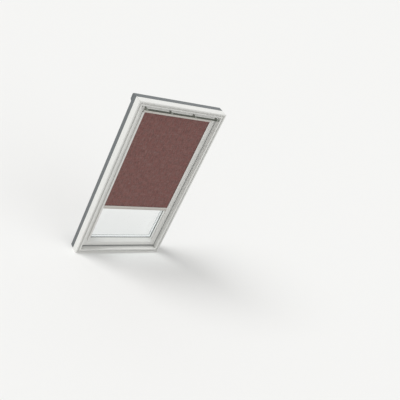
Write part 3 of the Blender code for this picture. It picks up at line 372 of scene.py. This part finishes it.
def countersunk_screw():
    """Countersunk head with a low crown and a cross recess, its face up at the origin."""
    bpy.ops.object.select_all(action="DESELECT")
    bpy.ops.mesh.primitive_cone_add(vertices=SCREW_SIDES, radius1=SCREW_HEAD / 2,
                                    radius2=SCREW_HEAD, depth=SCREW_HEIGHT,
                                    location=(0, 0, -SCREW_HEIGHT / 2))
    head = bpy.context.object
    bpy.ops.object.transform_apply(location=True, rotation=True, scale=True)
    select_parts(head, "FACE", lambda face: face.normal.z > ALONG_AXIS)
    for inset, rise in CROWN_STEPS:
        bpy.ops.mesh.inset(thickness=SCREW_HEAD * inset)
        bpy.ops.transform.translate(value=(0, 0, SCREW_CROWN * rise))
    bpy.ops.object.mode_set(mode="OBJECT")
    for size in ((RECESS_ARM, RECESS_WIDTH), (RECESS_WIDTH, RECESS_ARM)):
        bpy.ops.mesh.primitive_cube_add(size=1, location=(0, 0, SCREW_CROWN),
                                        scale=(*size, 2 * RECESS_DEPTH))
        bit = bpy.context.object
        recess = head.modifiers.new("recess", "BOOLEAN")
        recess.operation = "DIFFERENCE"
        recess.object = bit
        select_only(head)
        bpy.ops.object.modifier_apply(modifier=recess.name)
        bpy.data.objects.remove(bit)
    bpy.ops.object.shade_smooth_by_angle(angle=SCREW_SMOOTH_UP_TO)
    model = head.data
    bpy.data.objects.remove(head)
    return model


def set_screws(name, spots, facing, body, material, slot):
    """One screw at each spot, all facing one way, joined into one piece."""
    bpy.ops.object.select_all(action="DESELECT")
    turn = Vector(facing).to_track_quat("Z", "Y").to_matrix().to_4x4()
    for spot in spots:
        screw = bpy.data.objects.new(name, screw_head.copy())
        screw.data.transform(Matrix.Translation(spot) @ turn)
        bpy.context.scene.collection.objects.link(screw)
        screw.select_set(True)
        bpy.context.view_layer.objects.active = screw
    bpy.ops.object.join()
    piece = bpy.context.object
    piece.name = name
    finish_with(piece, material, slot, body)


def corners(node):
    """Lowest and highest corner of a CAD node."""
    return [Vector(corner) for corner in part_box(node)]


zinc = zinc_plate("zinc_plate")
screw_head = countersunk_screw()
for side_name, side in (("left", -1), ("right", 1)):
    for body, facing in (("frame", -side), ("sash", side)):
        node = f"hinge_{body}_{side_name}"
        finish_with(eased(node, "zinc", PLATE_EDGE), zinc, "steel", body, node)
        low, high = corners(node)
        middle = (low + high) / 2
        face_x = max(abs(low.x), abs(high.x)) - (PLATE if body == "frame" else 0)
        spots = [(side * face_x + facing * SCREW_PROUD, middle.y, middle.z + offset)
                 for offset in HINGE_SCREWS]
        set_screws(f"screws_{node}", spots, (facing, 0, 0), body, zinc, "steel")

# Sash
# Upright stiles with the two rails butted between them, of the same lacquered pine. The
# joints show as fine lines.
for member, material in (("sash_stile_left", pine_upright), ("sash_stile_right", pine_upright),
                         ("sash_top_rail", pine_across), ("sash_bottom_rail", pine_across)):
    finish_with(eased(member, "lacquered", ARRIS), material, "white_lacquer", "sash", member)

# Latch
# A zinc-plated plate let into the sash's top edge and a striker plate under the frame's
# head, each with two screws. They meet only where the sash is shut.
LATCH_SCREWS = 0.033
STRIKER_SCREWS = 0.031

for node, body, reach, facing in (("latch_plate", "sash", LATCH_SCREWS, 1),
                                  ("striker_plate", "frame", STRIKER_SCREWS, -1)):
    finish_with(eased(node, "zinc", PLATE_EDGE), zinc, "steel", body, node)
    low, high = corners(node)
    face_z = high.z if facing > 0 else low.z
    spots = [(across, (low.y + high.y) / 2, face_z + facing * SCREW_PROUD)
             for across in (-reach, reach)]
    set_screws(f"screws_{node}", spots, (0, 0, facing), body, zinc, "steel")

# Glazing
# Two float glass panes sealed round a pale spacer, set between a dark rubber gasket on the
# room side and a pale bedding strip of butyl outside.
GLASS_TINT = "#FEFFFF"
GASKET_RUBBER = "#2F3234"
GASKET_EDGE = 0.0005
SPACER = "#F0F2F2"
SPACER_HOLE = "#B9BCBC"
BEDDING = "#D8DADA"
PERFORATION = 0.0045  # the holes stand about 2 mm apart; drawn wider, so that they show
PERFORATION_SIZE = 0.2  # a hole's radius, as a share of the distance between holes


def float_glass(name):
    """Float glass: dead flat and smooth, so clear with sharp reflections. It lets the lamps
    through to what stands behind it."""
    material = new_material(name, GLASS_TINT, roughness=0.0, IOR=1.5, Transmission_Weight=1.0)
    tree = material.node_tree
    rays = add_node(tree, "ShaderNodeLightPath")
    lamp_side = add_node(tree, "ShaderNodeMath",
                         {0: rays.outputs["Is Shadow Ray"], 1: rays.outputs["Is Diffuse Ray"]},
                         operation="MAXIMUM")
    clear = add_node(tree, "ShaderNodeBsdfTransparent", {"Color": hex_colour(GLASS_TINT)})
    either = add_node(tree, "ShaderNodeMixShader",
                      {0: lamp_side, 1: tree.nodes["Principled BSDF"], 2: clear})
    tree.links.new(either.outputs[0], tree.nodes["Material Output"].inputs["Surface"])
    return material


def spacer_bar(name):
    """Pale lacquered spacer with its rows of small breathing holes."""
    material = new_material(name, SPACER, roughness=0.5)
    tree = material.node_tree
    place = add_node(tree, "ShaderNodeTexCoord").outputs["Object"]
    holes = add_node(tree, "ShaderNodeTexVoronoi",
                     {"Vector": place, "Scale": 1 / PERFORATION, "Randomness": 0.0})
    open_part = add_node(tree, "ShaderNodeMath", {0: holes, 1: PERFORATION_SIZE},
                         operation="LESS_THAN")
    tone = add_node(tree, "ShaderNodeMixRGB",
                    {"Fac": open_part, "Color1": hex_colour(SPACER),
                     "Color2": hex_colour(SPACER_HOLE)})
    feed(material, Base_Color=tone)
    return material


gasket_rubber = moulded("dark_gasket_rubber", GASKET_RUBBER, roughness=0.6,
                        grain=RUBBER_GRAIN, depth=RUBBER_GRAIN_DEPTH)
butyl = moulded("pale_butyl_bedding", BEDDING, roughness=0.7, grain=RUBBER_GRAIN,
                depth=RUBBER_GRAIN_DEPTH)
finish_with(eased("glazing_gasket", "extruded", GASKET_EDGE), gasket_rubber, "grey_rubber",
            "sash", "glazing_gasket")
float_pane = float_glass("float_glass")
repaint("inner_pane", float_pane)
repaint("outer_pane", float_pane)
repaint("glazing_spacer", spacer_bar("pale_spacer"))
repaint("glazing_bedding", butyl)

# Outer covers
# Folded aluminium sheet, grey lacquered before it is folded, which sheds the rain over the
# frame and the sash. Small screws with grey heads hold it.
COVER_GREY = "#6E7274"
COVER_FLECK = "#656A6C"
COVER_EDGE = 0.0003
FLECK = 0.003  # the lacquer's fleck is under 1 mm; drawn coarser, so that it shows
SHEET_ROLL = 0.05  # rolling leaves waves a few centimetres long in thin sheet
SHEET_ROLL_HEIGHT = 0.0004
SHEET_ROLL_STRENGTH = 0.25
SILL_SCREWS = (-0.30, 0.0, 0.30)
SILL_SCREW_ROW = 0.017
JAMB_SCREWS = (0.06, 0.47, 0.95, 1.30)
JAMB_SCREW_LINE = 0.373
SASH_SCREWS = (0.15, 0.50, 0.78, 1.26)
SASH_SCREW_LINE = 0.325
TOP_SCREWS = (-0.2, 0.0, 0.2)
TOP_SCREW_ROW = 1.329
BOTTOM_SCREWS = (-0.24, 0.0, 0.24)
BOTTOM_SCREW_ROW = 0.076


def coil_lacquer(name, colour, fleck, roughness, metallic):
    """Coil-coated aluminium: an even lacquer with a very fine fleck and a slight roll."""
    material = new_material(name, colour, roughness, metallic)
    tree = material.node_tree
    place = add_node(tree, "ShaderNodeTexCoord").outputs["Object"]
    flecks = add_node(tree, "ShaderNodeTexNoise",
                      {"Vector": place, "Scale": 1 / FLECK, "Detail": 2.0})
    tone = add_node(tree, "ShaderNodeMixRGB",
                    {"Fac": flecks, "Color1": hex_colour(colour), "Color2": hex_colour(fleck)})
    sheet_roll = add_node(tree, "ShaderNodeTexNoise",
                          {"Vector": place, "Scale": 1 / SHEET_ROLL, "Detail": 1.0})
    bump = add_node(tree, "ShaderNodeBump",
                    {"Height": sheet_roll, "Strength": SHEET_ROLL_STRENGTH,
                     "Distance": SHEET_ROLL_HEIGHT})
    feed(material, Base_Color=tone, Normal=bump)
    return material


cover_lacquer = coil_lacquer("grey_cover_lacquer", COVER_GREY, COVER_FLECK, roughness=0.45,
                             metallic=0.3)
for body, nodes in (
        ("frame", ("head_cover", "hood_end_left", "hood_end_right", "sill_cover",
                   "jamb_cover_left", "jamb_cover_right")),
        ("sash", ("sash_cover_left", "sash_cover_right", "sash_cover_top",
                  "sash_cover_bottom"))):
    for node in nodes:
        finish_with(eased(node, "folded", COVER_EDGE, segments=1), cover_lacquer, "grey_cover",
                    body, node)
frame_face = corners("jamb_cover_left")[1].y
sash_face = corners("sash_cover_top")[1].y  # the other sash covers reach past it with laps
for node, body, face, spots in (
        ("sill_cover", "frame", frame_face, [(x, SILL_SCREW_ROW) for x in SILL_SCREWS]),
        ("jamb_cover_left", "frame", frame_face, [(-JAMB_SCREW_LINE, z) for z in JAMB_SCREWS]),
        ("jamb_cover_right", "frame", frame_face, [(JAMB_SCREW_LINE, z) for z in JAMB_SCREWS]),
        ("sash_cover_left", "sash", sash_face, [(-SASH_SCREW_LINE, z) for z in SASH_SCREWS]),
        ("sash_cover_right", "sash", sash_face, [(SASH_SCREW_LINE, z) for z in SASH_SCREWS]),
        ("sash_cover_top", "sash", sash_face, [(x, TOP_SCREW_ROW) for x in TOP_SCREWS]),
        ("sash_cover_bottom", "sash", sash_face,
         [(x, BOTTOM_SCREW_ROW) for x in BOTTOM_SCREWS])):
    set_screws(f"screws_{node}", [(x, face + SCREW_PROUD, z) for x, z in spots], (0, 1, 0),
               body, cover_lacquer, "grey_cover")

# Hood legs
# A short leg of the same sheet under each hood end, which closes the rebate in the jamb's
# side above the jamb cover. Its free corners are rounded and two screws hold it.
LEG_SHEET = 0.0008
LEG_FACE = 0.3895
LEG_CORNER = 0.005
LEG_CORNER_STEPS = 5
LEG_GAP = 0.0003
LEG_SCREWS = (0.012, 0.047)


def block(name, low, high):
    """Plain block between two corners, from which a piece is shaped."""
    bpy.ops.object.select_all(action="DESELECT")
    bpy.ops.mesh.primitive_cube_add(size=1, location=(low + high) / 2, scale=high - low)
    piece = bpy.context.object
    piece.name = name
    bpy.ops.object.transform_apply(location=True, rotation=True, scale=True)
    return piece


def is_free_corner(leg, edge, room_side):
    """Whether an edge of a leg runs through its sheet, on the leg's room side."""
    start, end = (leg.data.vertices[index].co for index in edge.vertices)
    through_sheet = abs((end - start).normalized().x) > ALONG_AXIS
    return through_sheet and abs(start.y - room_side) < LEG_GAP


for side_name, side in (("left", -1), ("right", 1)):
    end_low, end_high = corners(f"hood_end_{side_name}")
    cover_low, cover_high = corners(f"jamb_cover_{side_name}")
    near_x, far_x = sorted((side * LEG_FACE, side * (LEG_FACE - LEG_SHEET)))
    bottom = cover_high.z + LEG_GAP
    low = Vector((near_x, cover_low.y, bottom))
    high = Vector((far_x, end_low.y - LEG_GAP, end_high.z))
    leg = block(f"hood_leg_{side_name}", low, high)
    select_parts(leg, "EDGE", lambda edge: is_free_corner(leg, edge, low.y))
    bpy.ops.mesh.bevel(offset=LEG_CORNER, segments=LEG_CORNER_STEPS)
    bpy.ops.object.mode_set(mode="OBJECT")
    finish_with(leg, cover_lacquer, "grey_cover", "frame")
    spots = [(side * (LEG_FACE + SCREW_PROUD), (low.y + high.y) / 2, bottom + rise)
             for rise in LEG_SCREWS]
    set_screws(f"screws_hood_leg_{side_name}", spots, (side, 0, 0), "frame", cover_lacquer,
               "grey_cover")

# Air filter
# A strip of open-cell foam pushed into the top rail's groove behind the vent flap. It bulges
# a little out of the groove and its cells leave a rough dark skin.
FOAM = "#3A3C3D"
FOAM_CELL = 0.0022  # the cells are about 1 mm wide; drawn coarser, so that they show
FOAM_CELL_DEPTH = 0.0006
FOAM_BULGE = 0.0009
FOAM_LUMP = 0.006
FACE_UNEVEN = 0.4  # how far the lumps change the bulge of the face and the line of the edges
EDGE_UNEVEN = 0.5
FOAM_CUTS = 63

low, high = corners("air_filter")
foam_strip = block("foam_air_filter", low, high)
bpy.ops.object.mode_set(mode="EDIT")
bpy.ops.mesh.select_all(action="SELECT")
bpy.ops.mesh.subdivide(number_cuts=FOAM_CUTS)
bpy.ops.object.mode_set(mode="OBJECT")
for vertex in foam_strip.data.vertices:
    crown = 1 - (2 * (vertex.co.z - low.z) / (high.z - low.z) - 1) ** 2
    room_side = (high.y - vertex.co.y) / (high.y - low.y)
    lump = noise.noise(vertex.co / FOAM_LUMP)
    vertex.co.y -= room_side * FOAM_BULGE * crown * (1 + FACE_UNEVEN * lump)
    vertex.co.z += (1 - crown) * FOAM_BULGE * EDGE_UNEVEN * lump
foam = moulded("open_cell_foam", FOAM, roughness=0.92, grain=FOAM_CELL, depth=FOAM_CELL_DEPTH)
finish_with(foam_strip, foam, "filter_foam", "sash", "air_filter")

# Vent flap
# An extruded aluminium flap, white lacquered. Its bead turns in a white plastic bearing rail
# on the sash, and its face stands in front of the top rail, just behind the control bar.
# Opening it lets air past the foam with the window shut.
EXTRUSION_EDGE = 0.0003
WHITE_PLASTIC = "#D6D6D2"
PLASTIC_GRAIN = 0.0015  # moulds have a grain of about 0.1 mm; drawn coarser, so that it shows
PLASTIC_GRAIN_DEPTH = 0.00006

flap_lacquer = coil_lacquer("white_flap_lacquer", LACQUER, LACQUER_SHADE,
                            roughness=LACQUER_ROUGHNESS, metallic=0.0)
finish_with(eased("vent_flap", "lacquered", EXTRUSION_EDGE), flap_lacquer, "white_lacquer",
            "vent_flap", "vent_flap")
white_plastic = moulded("moulded_white_plastic", WHITE_PLASTIC, roughness=0.5,
                        grain=PLASTIC_GRAIN, depth=PLASTIC_GRAIN_DEPTH)
repaint("flap_bearing", white_plastic)

# Control bar
# The bar that is pulled to open the flap and then the sash: a rounded aluminium extrusion,
# anodised grey-green and brushed along its length. Its end caps are moulded in a plastic of
# the same tone, and its brackets in a paler one.
BAR_ANODISED = "#5D5F58"
BAR_STREAK = "#50534C"
CAP_PLASTIC = "#686A62"
BRACKET_PLASTIC = "#8B8D86"
BAR_FITTING_EDGE = 0.0006
BAR_FITTING_GRAIN = 0.0012
BAR_FITTING_GRAIN_DEPTH = 0.00008
BRUSH_ACROSS = 0.0012  # brushing is finer than 0.1 mm; drawn wider, so that it shows
BRUSH_ALONG = 0.12
BRUSH_DEPTH = 0.00005
BRUSH_STRENGTH = 0.3
BRUSH_GLOSS = (0.32, 0.48)


def brushed_anodised(name, colour, streak):
    """Anodised aluminium brushed along X: long fine streaks in tone, gloss and relief."""
    material = new_material(name, colour, roughness=0.4, metallic=0.6)
    tree = material.node_tree
    place = add_node(tree, "ShaderNodeTexCoord").outputs["Object"]
    stretched = add_node(tree, "ShaderNodeMapping",
                         {"Vector": place,
                          "Scale": (1 / BRUSH_ALONG, 1 / BRUSH_ACROSS, 1 / BRUSH_ACROSS)})
    lines = add_node(tree, "ShaderNodeTexNoise",
                     {"Vector": stretched, "Scale": 1.0, "Detail": 4.0})
    tone = add_node(tree, "ShaderNodeMixRGB",
                    {"Fac": lines, "Color1": hex_colour(colour), "Color2": hex_colour(streak)})
    gloss = add_node(tree, "ShaderNodeMapRange",
                     {"Value": lines, "From Min": NOISE_LOW, "From Max": NOISE_HIGH,
                      "To Min": BRUSH_GLOSS[0], "To Max": BRUSH_GLOSS[1]})
    bump = add_node(tree, "ShaderNodeBump",
                    {"Height": lines, "Strength": BRUSH_STRENGTH, "Distance": BRUSH_DEPTH})
    feed(material, Base_Color=tone, Roughness=gloss, Normal=bump)
    return material


bar_metal = brushed_anodised("brushed_anodised_bar", BAR_ANODISED, BAR_STREAK)
finish_with(eased("control_bar", "anodised", EXTRUSION_EDGE), bar_metal, "bar_metal",
            "vent_flap", "control_bar")
for name, colour, nodes in (
        ("moulded_cap_plastic", CAP_PLASTIC, ("bar_cap_left", "bar_cap_right")),
        ("moulded_bracket_plastic", BRACKET_PLASTIC,
         ("bar_bracket_1", "bar_bracket_2", "bar_bracket_3", "bar_bracket_4"))):
    plastic = moulded(name, colour, roughness=0.5, grain=BAR_FITTING_GRAIN,
                      depth=BAR_FITTING_GRAIN_DEPTH)
    for node in nodes:
        finish_with(eased(node, "moulded", BAR_FITTING_EDGE), plastic, "bar_plastic",
                    "vent_flap", node)

# Blind casing
# A thin aluminium extrusion, lacquered pale grey, that hides the roller under the top rail,
# with a white plastic end at each side that carries the roller's pin.
BLIND_LACQUER = "#CFCBC5"
BLIND_FLECK = "#C8C4BE"
MOULDED_EDGE = 0.0004

blind_lacquer = coil_lacquer("pale_blind_lacquer", BLIND_LACQUER, BLIND_FLECK, roughness=0.45,
                             metallic=0.1)
finish_with(eased("blind_casing", "lacquered", EXTRUSION_EDGE), blind_lacquer, "blind_metal",
            "sash", "blind_casing")
for node in ("casing_end_left", "casing_end_right"):
    finish_with(eased(node, "moulded", MOULDED_EDGE), white_plastic, "white_plastic", "sash",
                node)

# Side channels
# Aluminium extrusions, lacquered a shade whiter than the casing, with a slot for the cloth's
# edge. White-capped screws through their legs hold them to the stiles' inner faces, and a
# white plastic stop is pushed into each foot.
CHANNEL_LACQUER = "#DFDEDB"
CHANNEL_FLECK = "#D9D8D5"
CHANNEL_EDGE = 0.0002
CHANNEL_LEG_FACE = 0.303
CHANNEL_SCREW_Y = -0.003
CHANNEL_SCREWS = (0.155, 0.50, 0.90, 1.25)

channel_lacquer = coil_lacquer("white_channel_lacquer", CHANNEL_LACQUER, CHANNEL_FLECK,
                               roughness=0.45, metallic=0.1)
for side_name, side in (("left", -1), ("right", 1)):
    channel = f"side_channel_{side_name}"
    finish_with(eased(channel, "lacquered", CHANNEL_EDGE, segments=1), channel_lacquer,
                "blind_metal", "sash", channel)
    leg_x = side * (CHANNEL_LEG_FACE - SCREW_PROUD)
    set_screws(f"screws_{channel}", [(leg_x, CHANNEL_SCREW_Y, z) for z in CHANNEL_SCREWS],
               (-side, 0, 0), "sash", white_plastic, "white_plastic")
    stop = f"channel_stop_{side_name}"
    finish_with(eased(stop, "moulded", MOULDED_EDGE), white_plastic, "white_plastic", "sash",
                stop)

# Roller
# A galvanised steel tube on two white plastic plugs, which turns on a pin at one end and on
# a fixed arbor at the other. The torsion spring on the arbor winds the cloth up.
for node in ("roller_tube", "idler_pin", "spring_arbor", "roller_spring"):
    repaint(node, zinc)
for node in ("idler_plug", "spring_plug", "spring_anchor"):
    repaint(node, white_plastic)

# Wound cloth
# The start of the cloth, glued to the tube and wound on it in three and a quarter turns, so
# that the rest leaves the roll at its front. It is drawn as one spiral strip.
WOUND_TURNS = 3.25
WOUND_START = 0.0093  # radius at which the cloth lies on the tube
WOUND_PITCH = 0.0009
CLOTH = 0.00045
TURN_STEPS = 32
YARN = 0.0026  # the yarns lie about 0.6 mm apart; drawn wider, so that they show
YARN_HEIGHT = 0.00008
YARN_STRENGTH = 0.5
YARN_SHADE = (-0.8, 1.3)  # crowns of the yarns at which the shade painted between them would be darkest and palest
SLUB_ACROSS = 0.0032  # a slub is about 1 mm thick and some centimetres long; drawn thicker
SLUB_ALONG = 0.055
SLUBS = (0.52, 0.72)  # the part of the noise that makes a slub, from its edge to its middle
WARP_SLUB_SHARE = 0.7
SLUB_PALENESS = 0.6
HEATHER_ACROSS = 0.008  # dye takes unevenly along a few neighbouring yarns
HEATHER_ALONG = 0.036
HEATHER = (0.36, 0.64)
DYE = (0.38, 0.62)
DYE_SHARE = 0.55
CLOTH_MEAN = "#84625E"
# The darkest dyed tone of the cloth, also used as the painted shade between the yarns.
CLOTH_DARK_TONE_AND_SHADE = "#654542"
CLOTH_PALE = "#A58B84"
CLOTH_RED = "#8E5752"


def yarn_patches(tree, metres, across, along, share, detail=2.0):
    """Places where a yarn is thicker or of another tone: noise drawn out along the yarn."""
    drawn_out = add_node(tree, "ShaderNodeMapping",
                         {"Vector": metres, "Scale": (1 / across, 1 / along, 1)})
    patches = add_node(tree, "ShaderNodeTexNoise",
                       {"Vector": drawn_out, "Scale": 1.0, "Detail": detail})
    return add_node(tree, "ShaderNodeMapRange",
                    {"Value": patches, "From Min": share[0], "From Max": share[1]})


def yarn_crowns(tree, metres):
    """Height of the yarn on top in a plain weave, where warp and weft cross by turns."""
    place = add_node(tree, "ShaderNodeSeparateXYZ", {0: metres})
    waves = []
    heights = []
    for axis in ("X", "Y"):
        phase = add_node(tree, "ShaderNodeMath", {0: place.outputs[axis], 1: math.pi / YARN},
                         operation="MULTIPLY")
        waves.append(add_node(tree, "ShaderNodeMath", {0: phase}, operation="SINE"))
        heights.append(add_node(tree, "ShaderNodeMath", {0: waves[-1]}, operation="ABSOLUTE"))
    crossing = add_node(tree, "ShaderNodeMath", {0: waves[0], 1: waves[1]},
                        operation="MULTIPLY")
    warp_on_top = add_node(tree, "ShaderNodeMath", {0: crossing, 1: 0.0},
                           operation="GREATER_THAN")
    return add_node(tree, "ShaderNodeMapRange",
                    {"Value": warp_on_top, "To Min": heights[1], "To Max": heights[0]})


def slub_weave(name, width, length):
    """Polyester woven from thick and thin melange yarns: matt, mottled and softly ribbed; shade is painted
    between the yarns.
    """
    material = new_material(name, CLOTH_MEAN, roughness=0.88, Sheen_Weight=0.12,
                            Sheen_Roughness=0.45, Specular_IOR_Level=0.25)
    tree = material.node_tree
    flat = add_node(tree, "ShaderNodeTexCoord").outputs["UV"]
    metres = add_node(tree, "ShaderNodeMapping", {"Vector": flat, "Scale": (width, length, 1)})
    crown = yarn_crowns(tree, metres)
    weft_slub = yarn_patches(tree, metres, SLUB_ALONG, SLUB_ACROSS, SLUBS)
    warp_slub = yarn_patches(tree, metres, SLUB_ACROSS, SLUB_ALONG, SLUBS)
    heather = yarn_patches(tree, metres, HEATHER_ACROSS, HEATHER_ALONG, HEATHER)
    dye = yarn_patches(tree, metres, 2 * HEATHER_ACROSS, HEATHER_ALONG, DYE, detail=1.0)
    weaker_warp = add_node(tree, "ShaderNodeMath", {0: warp_slub, 1: WARP_SLUB_SHARE},
                           operation="MULTIPLY")
    slubs = add_node(tree, "ShaderNodeMath", {0: weft_slub, 1: weaker_warp},
                     operation="MAXIMUM")
    base = add_node(tree, "ShaderNodeMixRGB",
                    {"Fac": heather, "Color1": hex_colour(CLOTH_DARK_TONE_AND_SHADE),
                     "Color2": hex_colour(CLOTH_MEAN)})
    redness = add_node(tree, "ShaderNodeMath", {0: dye, 1: DYE_SHARE}, operation="MULTIPLY")
    red = add_node(tree, "ShaderNodeMixRGB",
                   {"Fac": redness, "Color1": base, "Color2": hex_colour(CLOTH_RED)})
    paleness = add_node(tree, "ShaderNodeMath", {0: slubs, 1: SLUB_PALENESS},
                        operation="MULTIPLY")
    pale = add_node(tree, "ShaderNodeMixRGB",
                    {"Fac": paleness, "Color1": red, "Color2": hex_colour(CLOTH_PALE)})
    # Painted shade: the colour darkens where the yarns dip between their crowns and keeps its own tone on
    # the crowns.
    shade = add_node(tree, "ShaderNodeMapRange",
                     {"Value": crown, "From Min": YARN_SHADE[0], "From Max": YARN_SHADE[1]})
    shaded_weave = add_node(tree, "ShaderNodeMixRGB",
                      {"Fac": shade, "Color1": hex_colour(CLOTH_DARK_TONE_AND_SHADE), "Color2": pale})
    relief = add_node(tree, "ShaderNodeMath", {0: crown, 1: slubs}, operation="ADD")
    bump = add_node(tree, "ShaderNodeBump",
                    {"Height": relief, "Strength": YARN_STRENGTH, "Distance": YARN_HEIGHT})
    feed(material, Base_Color=shaded_weave, Normal=bump)
    return material


def thicken(piece):
    """Give a cloth surface its thickness on both sides, with its cut edges closed."""
    select_only(piece)
    wall = piece.modifiers.new("cloth", "SOLIDIFY")
    wall.thickness = CLOTH
    wall.offset = 0
    bpy.ops.object.modifier_apply(modifier=wall.name)
    bpy.ops.object.shade_smooth_by_angle(angle=SMOOTH_UP_TO)


tube_low, tube_high = corners("roller_tube")
roll_low, roll_high = corners("fabric_roll")
roller_axis = (tube_low + tube_high) / 2
roll_width = roll_high.x - roll_low.x
wound_length = 2 * math.pi * WOUND_TURNS * (WOUND_START + WOUND_PITCH * WOUND_TURNS / 2)
bpy.ops.object.select_all(action="DESELECT")
bpy.ops.mesh.primitive_grid_add(x_subdivisions=1, y_subdivisions=int(TURN_STEPS * WOUND_TURNS),
                                size=1)
wound_cloth = bpy.context.object
wound_cloth.name = "wound_blind_cloth"
for vertex in wound_cloth.data.vertices:
    turns = WOUND_TURNS * (vertex.co.y + 0.5)
    angle = math.pi - 2 * math.pi * (WOUND_TURNS - turns)
    radius = WOUND_START + WOUND_PITCH * turns + CLOTH / 2
    vertex.co = (roll_low.x + (vertex.co.x + 0.5) * roll_width,
                 roller_axis.y + radius * math.cos(angle),
                 roller_axis.z + radius * math.sin(angle))
thicken(wound_cloth)
finish_with(wound_cloth, slub_weave("slub_weave_on_the_roll", roll_width, wound_length),
            "blind_cloth", "roller", "fabric_roll")

# Blind cloth
# Dusty burgundy polyester cloth, cut square and pulled flat between the roll and the bottom
# bar. Its edges run in the channels, and the pull leaves only shallow ripples.
RIPPLE = 0.0011
RIPPLE_WIDTH = 0.13
CHANNEL_SHARE = 0.35  # how much of a ripple is left at the channels
LEAN = 0.05  # how far the ripples swing sideways on their way down
LEAN_PACE = 5.1
SWELL = 0.4  # how much they swell and fade on their way down
SWELL_PACE = 7.3
SAG = 0.0006
CALM = 0.09  # how far from a held edge the ripples reach their full height
CLOTH_COLUMNS = 72
CLOTH_ROWS = 96

cloth_low, cloth_high = corners("blind_fabric")
hem_reach, _, hem_top = corners("bottom_bar")[1]
cloth_plane = (cloth_low.y + cloth_high.y) / 2
cloth_length = cloth_high.z - cloth_low.z
cloth_half = cloth_high.x


def ripple(across, down):
    """How far the pulled cloth stands off its plane, at one place on it."""
    ends = min(1.0, max(0.0, min(down, cloth_length - down) / CALM))
    sides = min(1.0, max(0.0, (cloth_half - abs(across)) / CALM))
    hold = ends * (CHANNEL_SHARE + (1 - CHANNEL_SHARE) * sides)
    lean = across + LEAN * math.sin(LEAN_PACE * down)
    swell = 1 - SWELL + SWELL * math.sin(SWELL_PACE * down + 1)
    wave = swell * math.sin(2 * math.pi * lean / RIPPLE_WIDTH)
    bow = math.cos(math.pi * across / (2 * cloth_half)) * math.sin(math.pi * down / cloth_length)
    return hold * (RIPPLE * wave / 2 + SAG * bow)


bpy.ops.object.select_all(action="DESELECT")
bpy.ops.mesh.primitive_grid_add(x_subdivisions=CLOTH_COLUMNS, y_subdivisions=CLOTH_ROWS, size=1)
blind_cloth = bpy.context.object
blind_cloth.name = "burgundy_blind_cloth"
for vertex in blind_cloth.data.vertices:
    across = vertex.co.x * 2 * cloth_half
    down = (0.5 - vertex.co.y) * cloth_length
    vertex.co = (across, cloth_plane + ripple(across, down), cloth_high.z - down)
# The hem in the bottom bar's slot is no wider than the bar.
for vertex in blind_cloth.data.vertices:
    if vertex.co.z < hem_top:
        vertex.co.x = max(-hem_reach, min(hem_reach, vertex.co.x))
thicken(blind_cloth)
blind_cloth.data.materials.append(slub_weave("slub_weave_of_the_blind", 2 * cloth_half,
                                             cloth_length))
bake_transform(blind_cloth, "sash", "bottom_bar", start=(0, cloth_plane, cloth_high.z),
         end=(0, cloth_plane, hem_top))
pull = blind_cloth.data.attributes["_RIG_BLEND"].data
for vertex, share in zip(blind_cloth.data.vertices, pull):
    share.value = min(1.0, (cloth_high.z - vertex.co.z) / (cloth_high.z - hem_top))
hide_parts("blind_fabric")

# Bottom bar
# An aluminium extrusion, lacquered like the casing, that weights the cloth and is pulled by
# the lip along its room side. The cloth's hem is slid into its slot, and a white plastic
# glider at each end runs in the channel.
BOTTOM_BAR_EDGE = 0.0004
GLIDER_EDGE = 0.0003

finish_with(eased("bottom_bar", "lacquered", BOTTOM_BAR_EDGE), blind_lacquer, "blind_metal",
            "bottom_bar", "bottom_bar")
for node in ("bar_glider_left", "bar_glider_right"):
    finish_with(eased(node, "moulded", GLIDER_EDGE), white_plastic, "white_plastic",
                "bottom_bar", node)
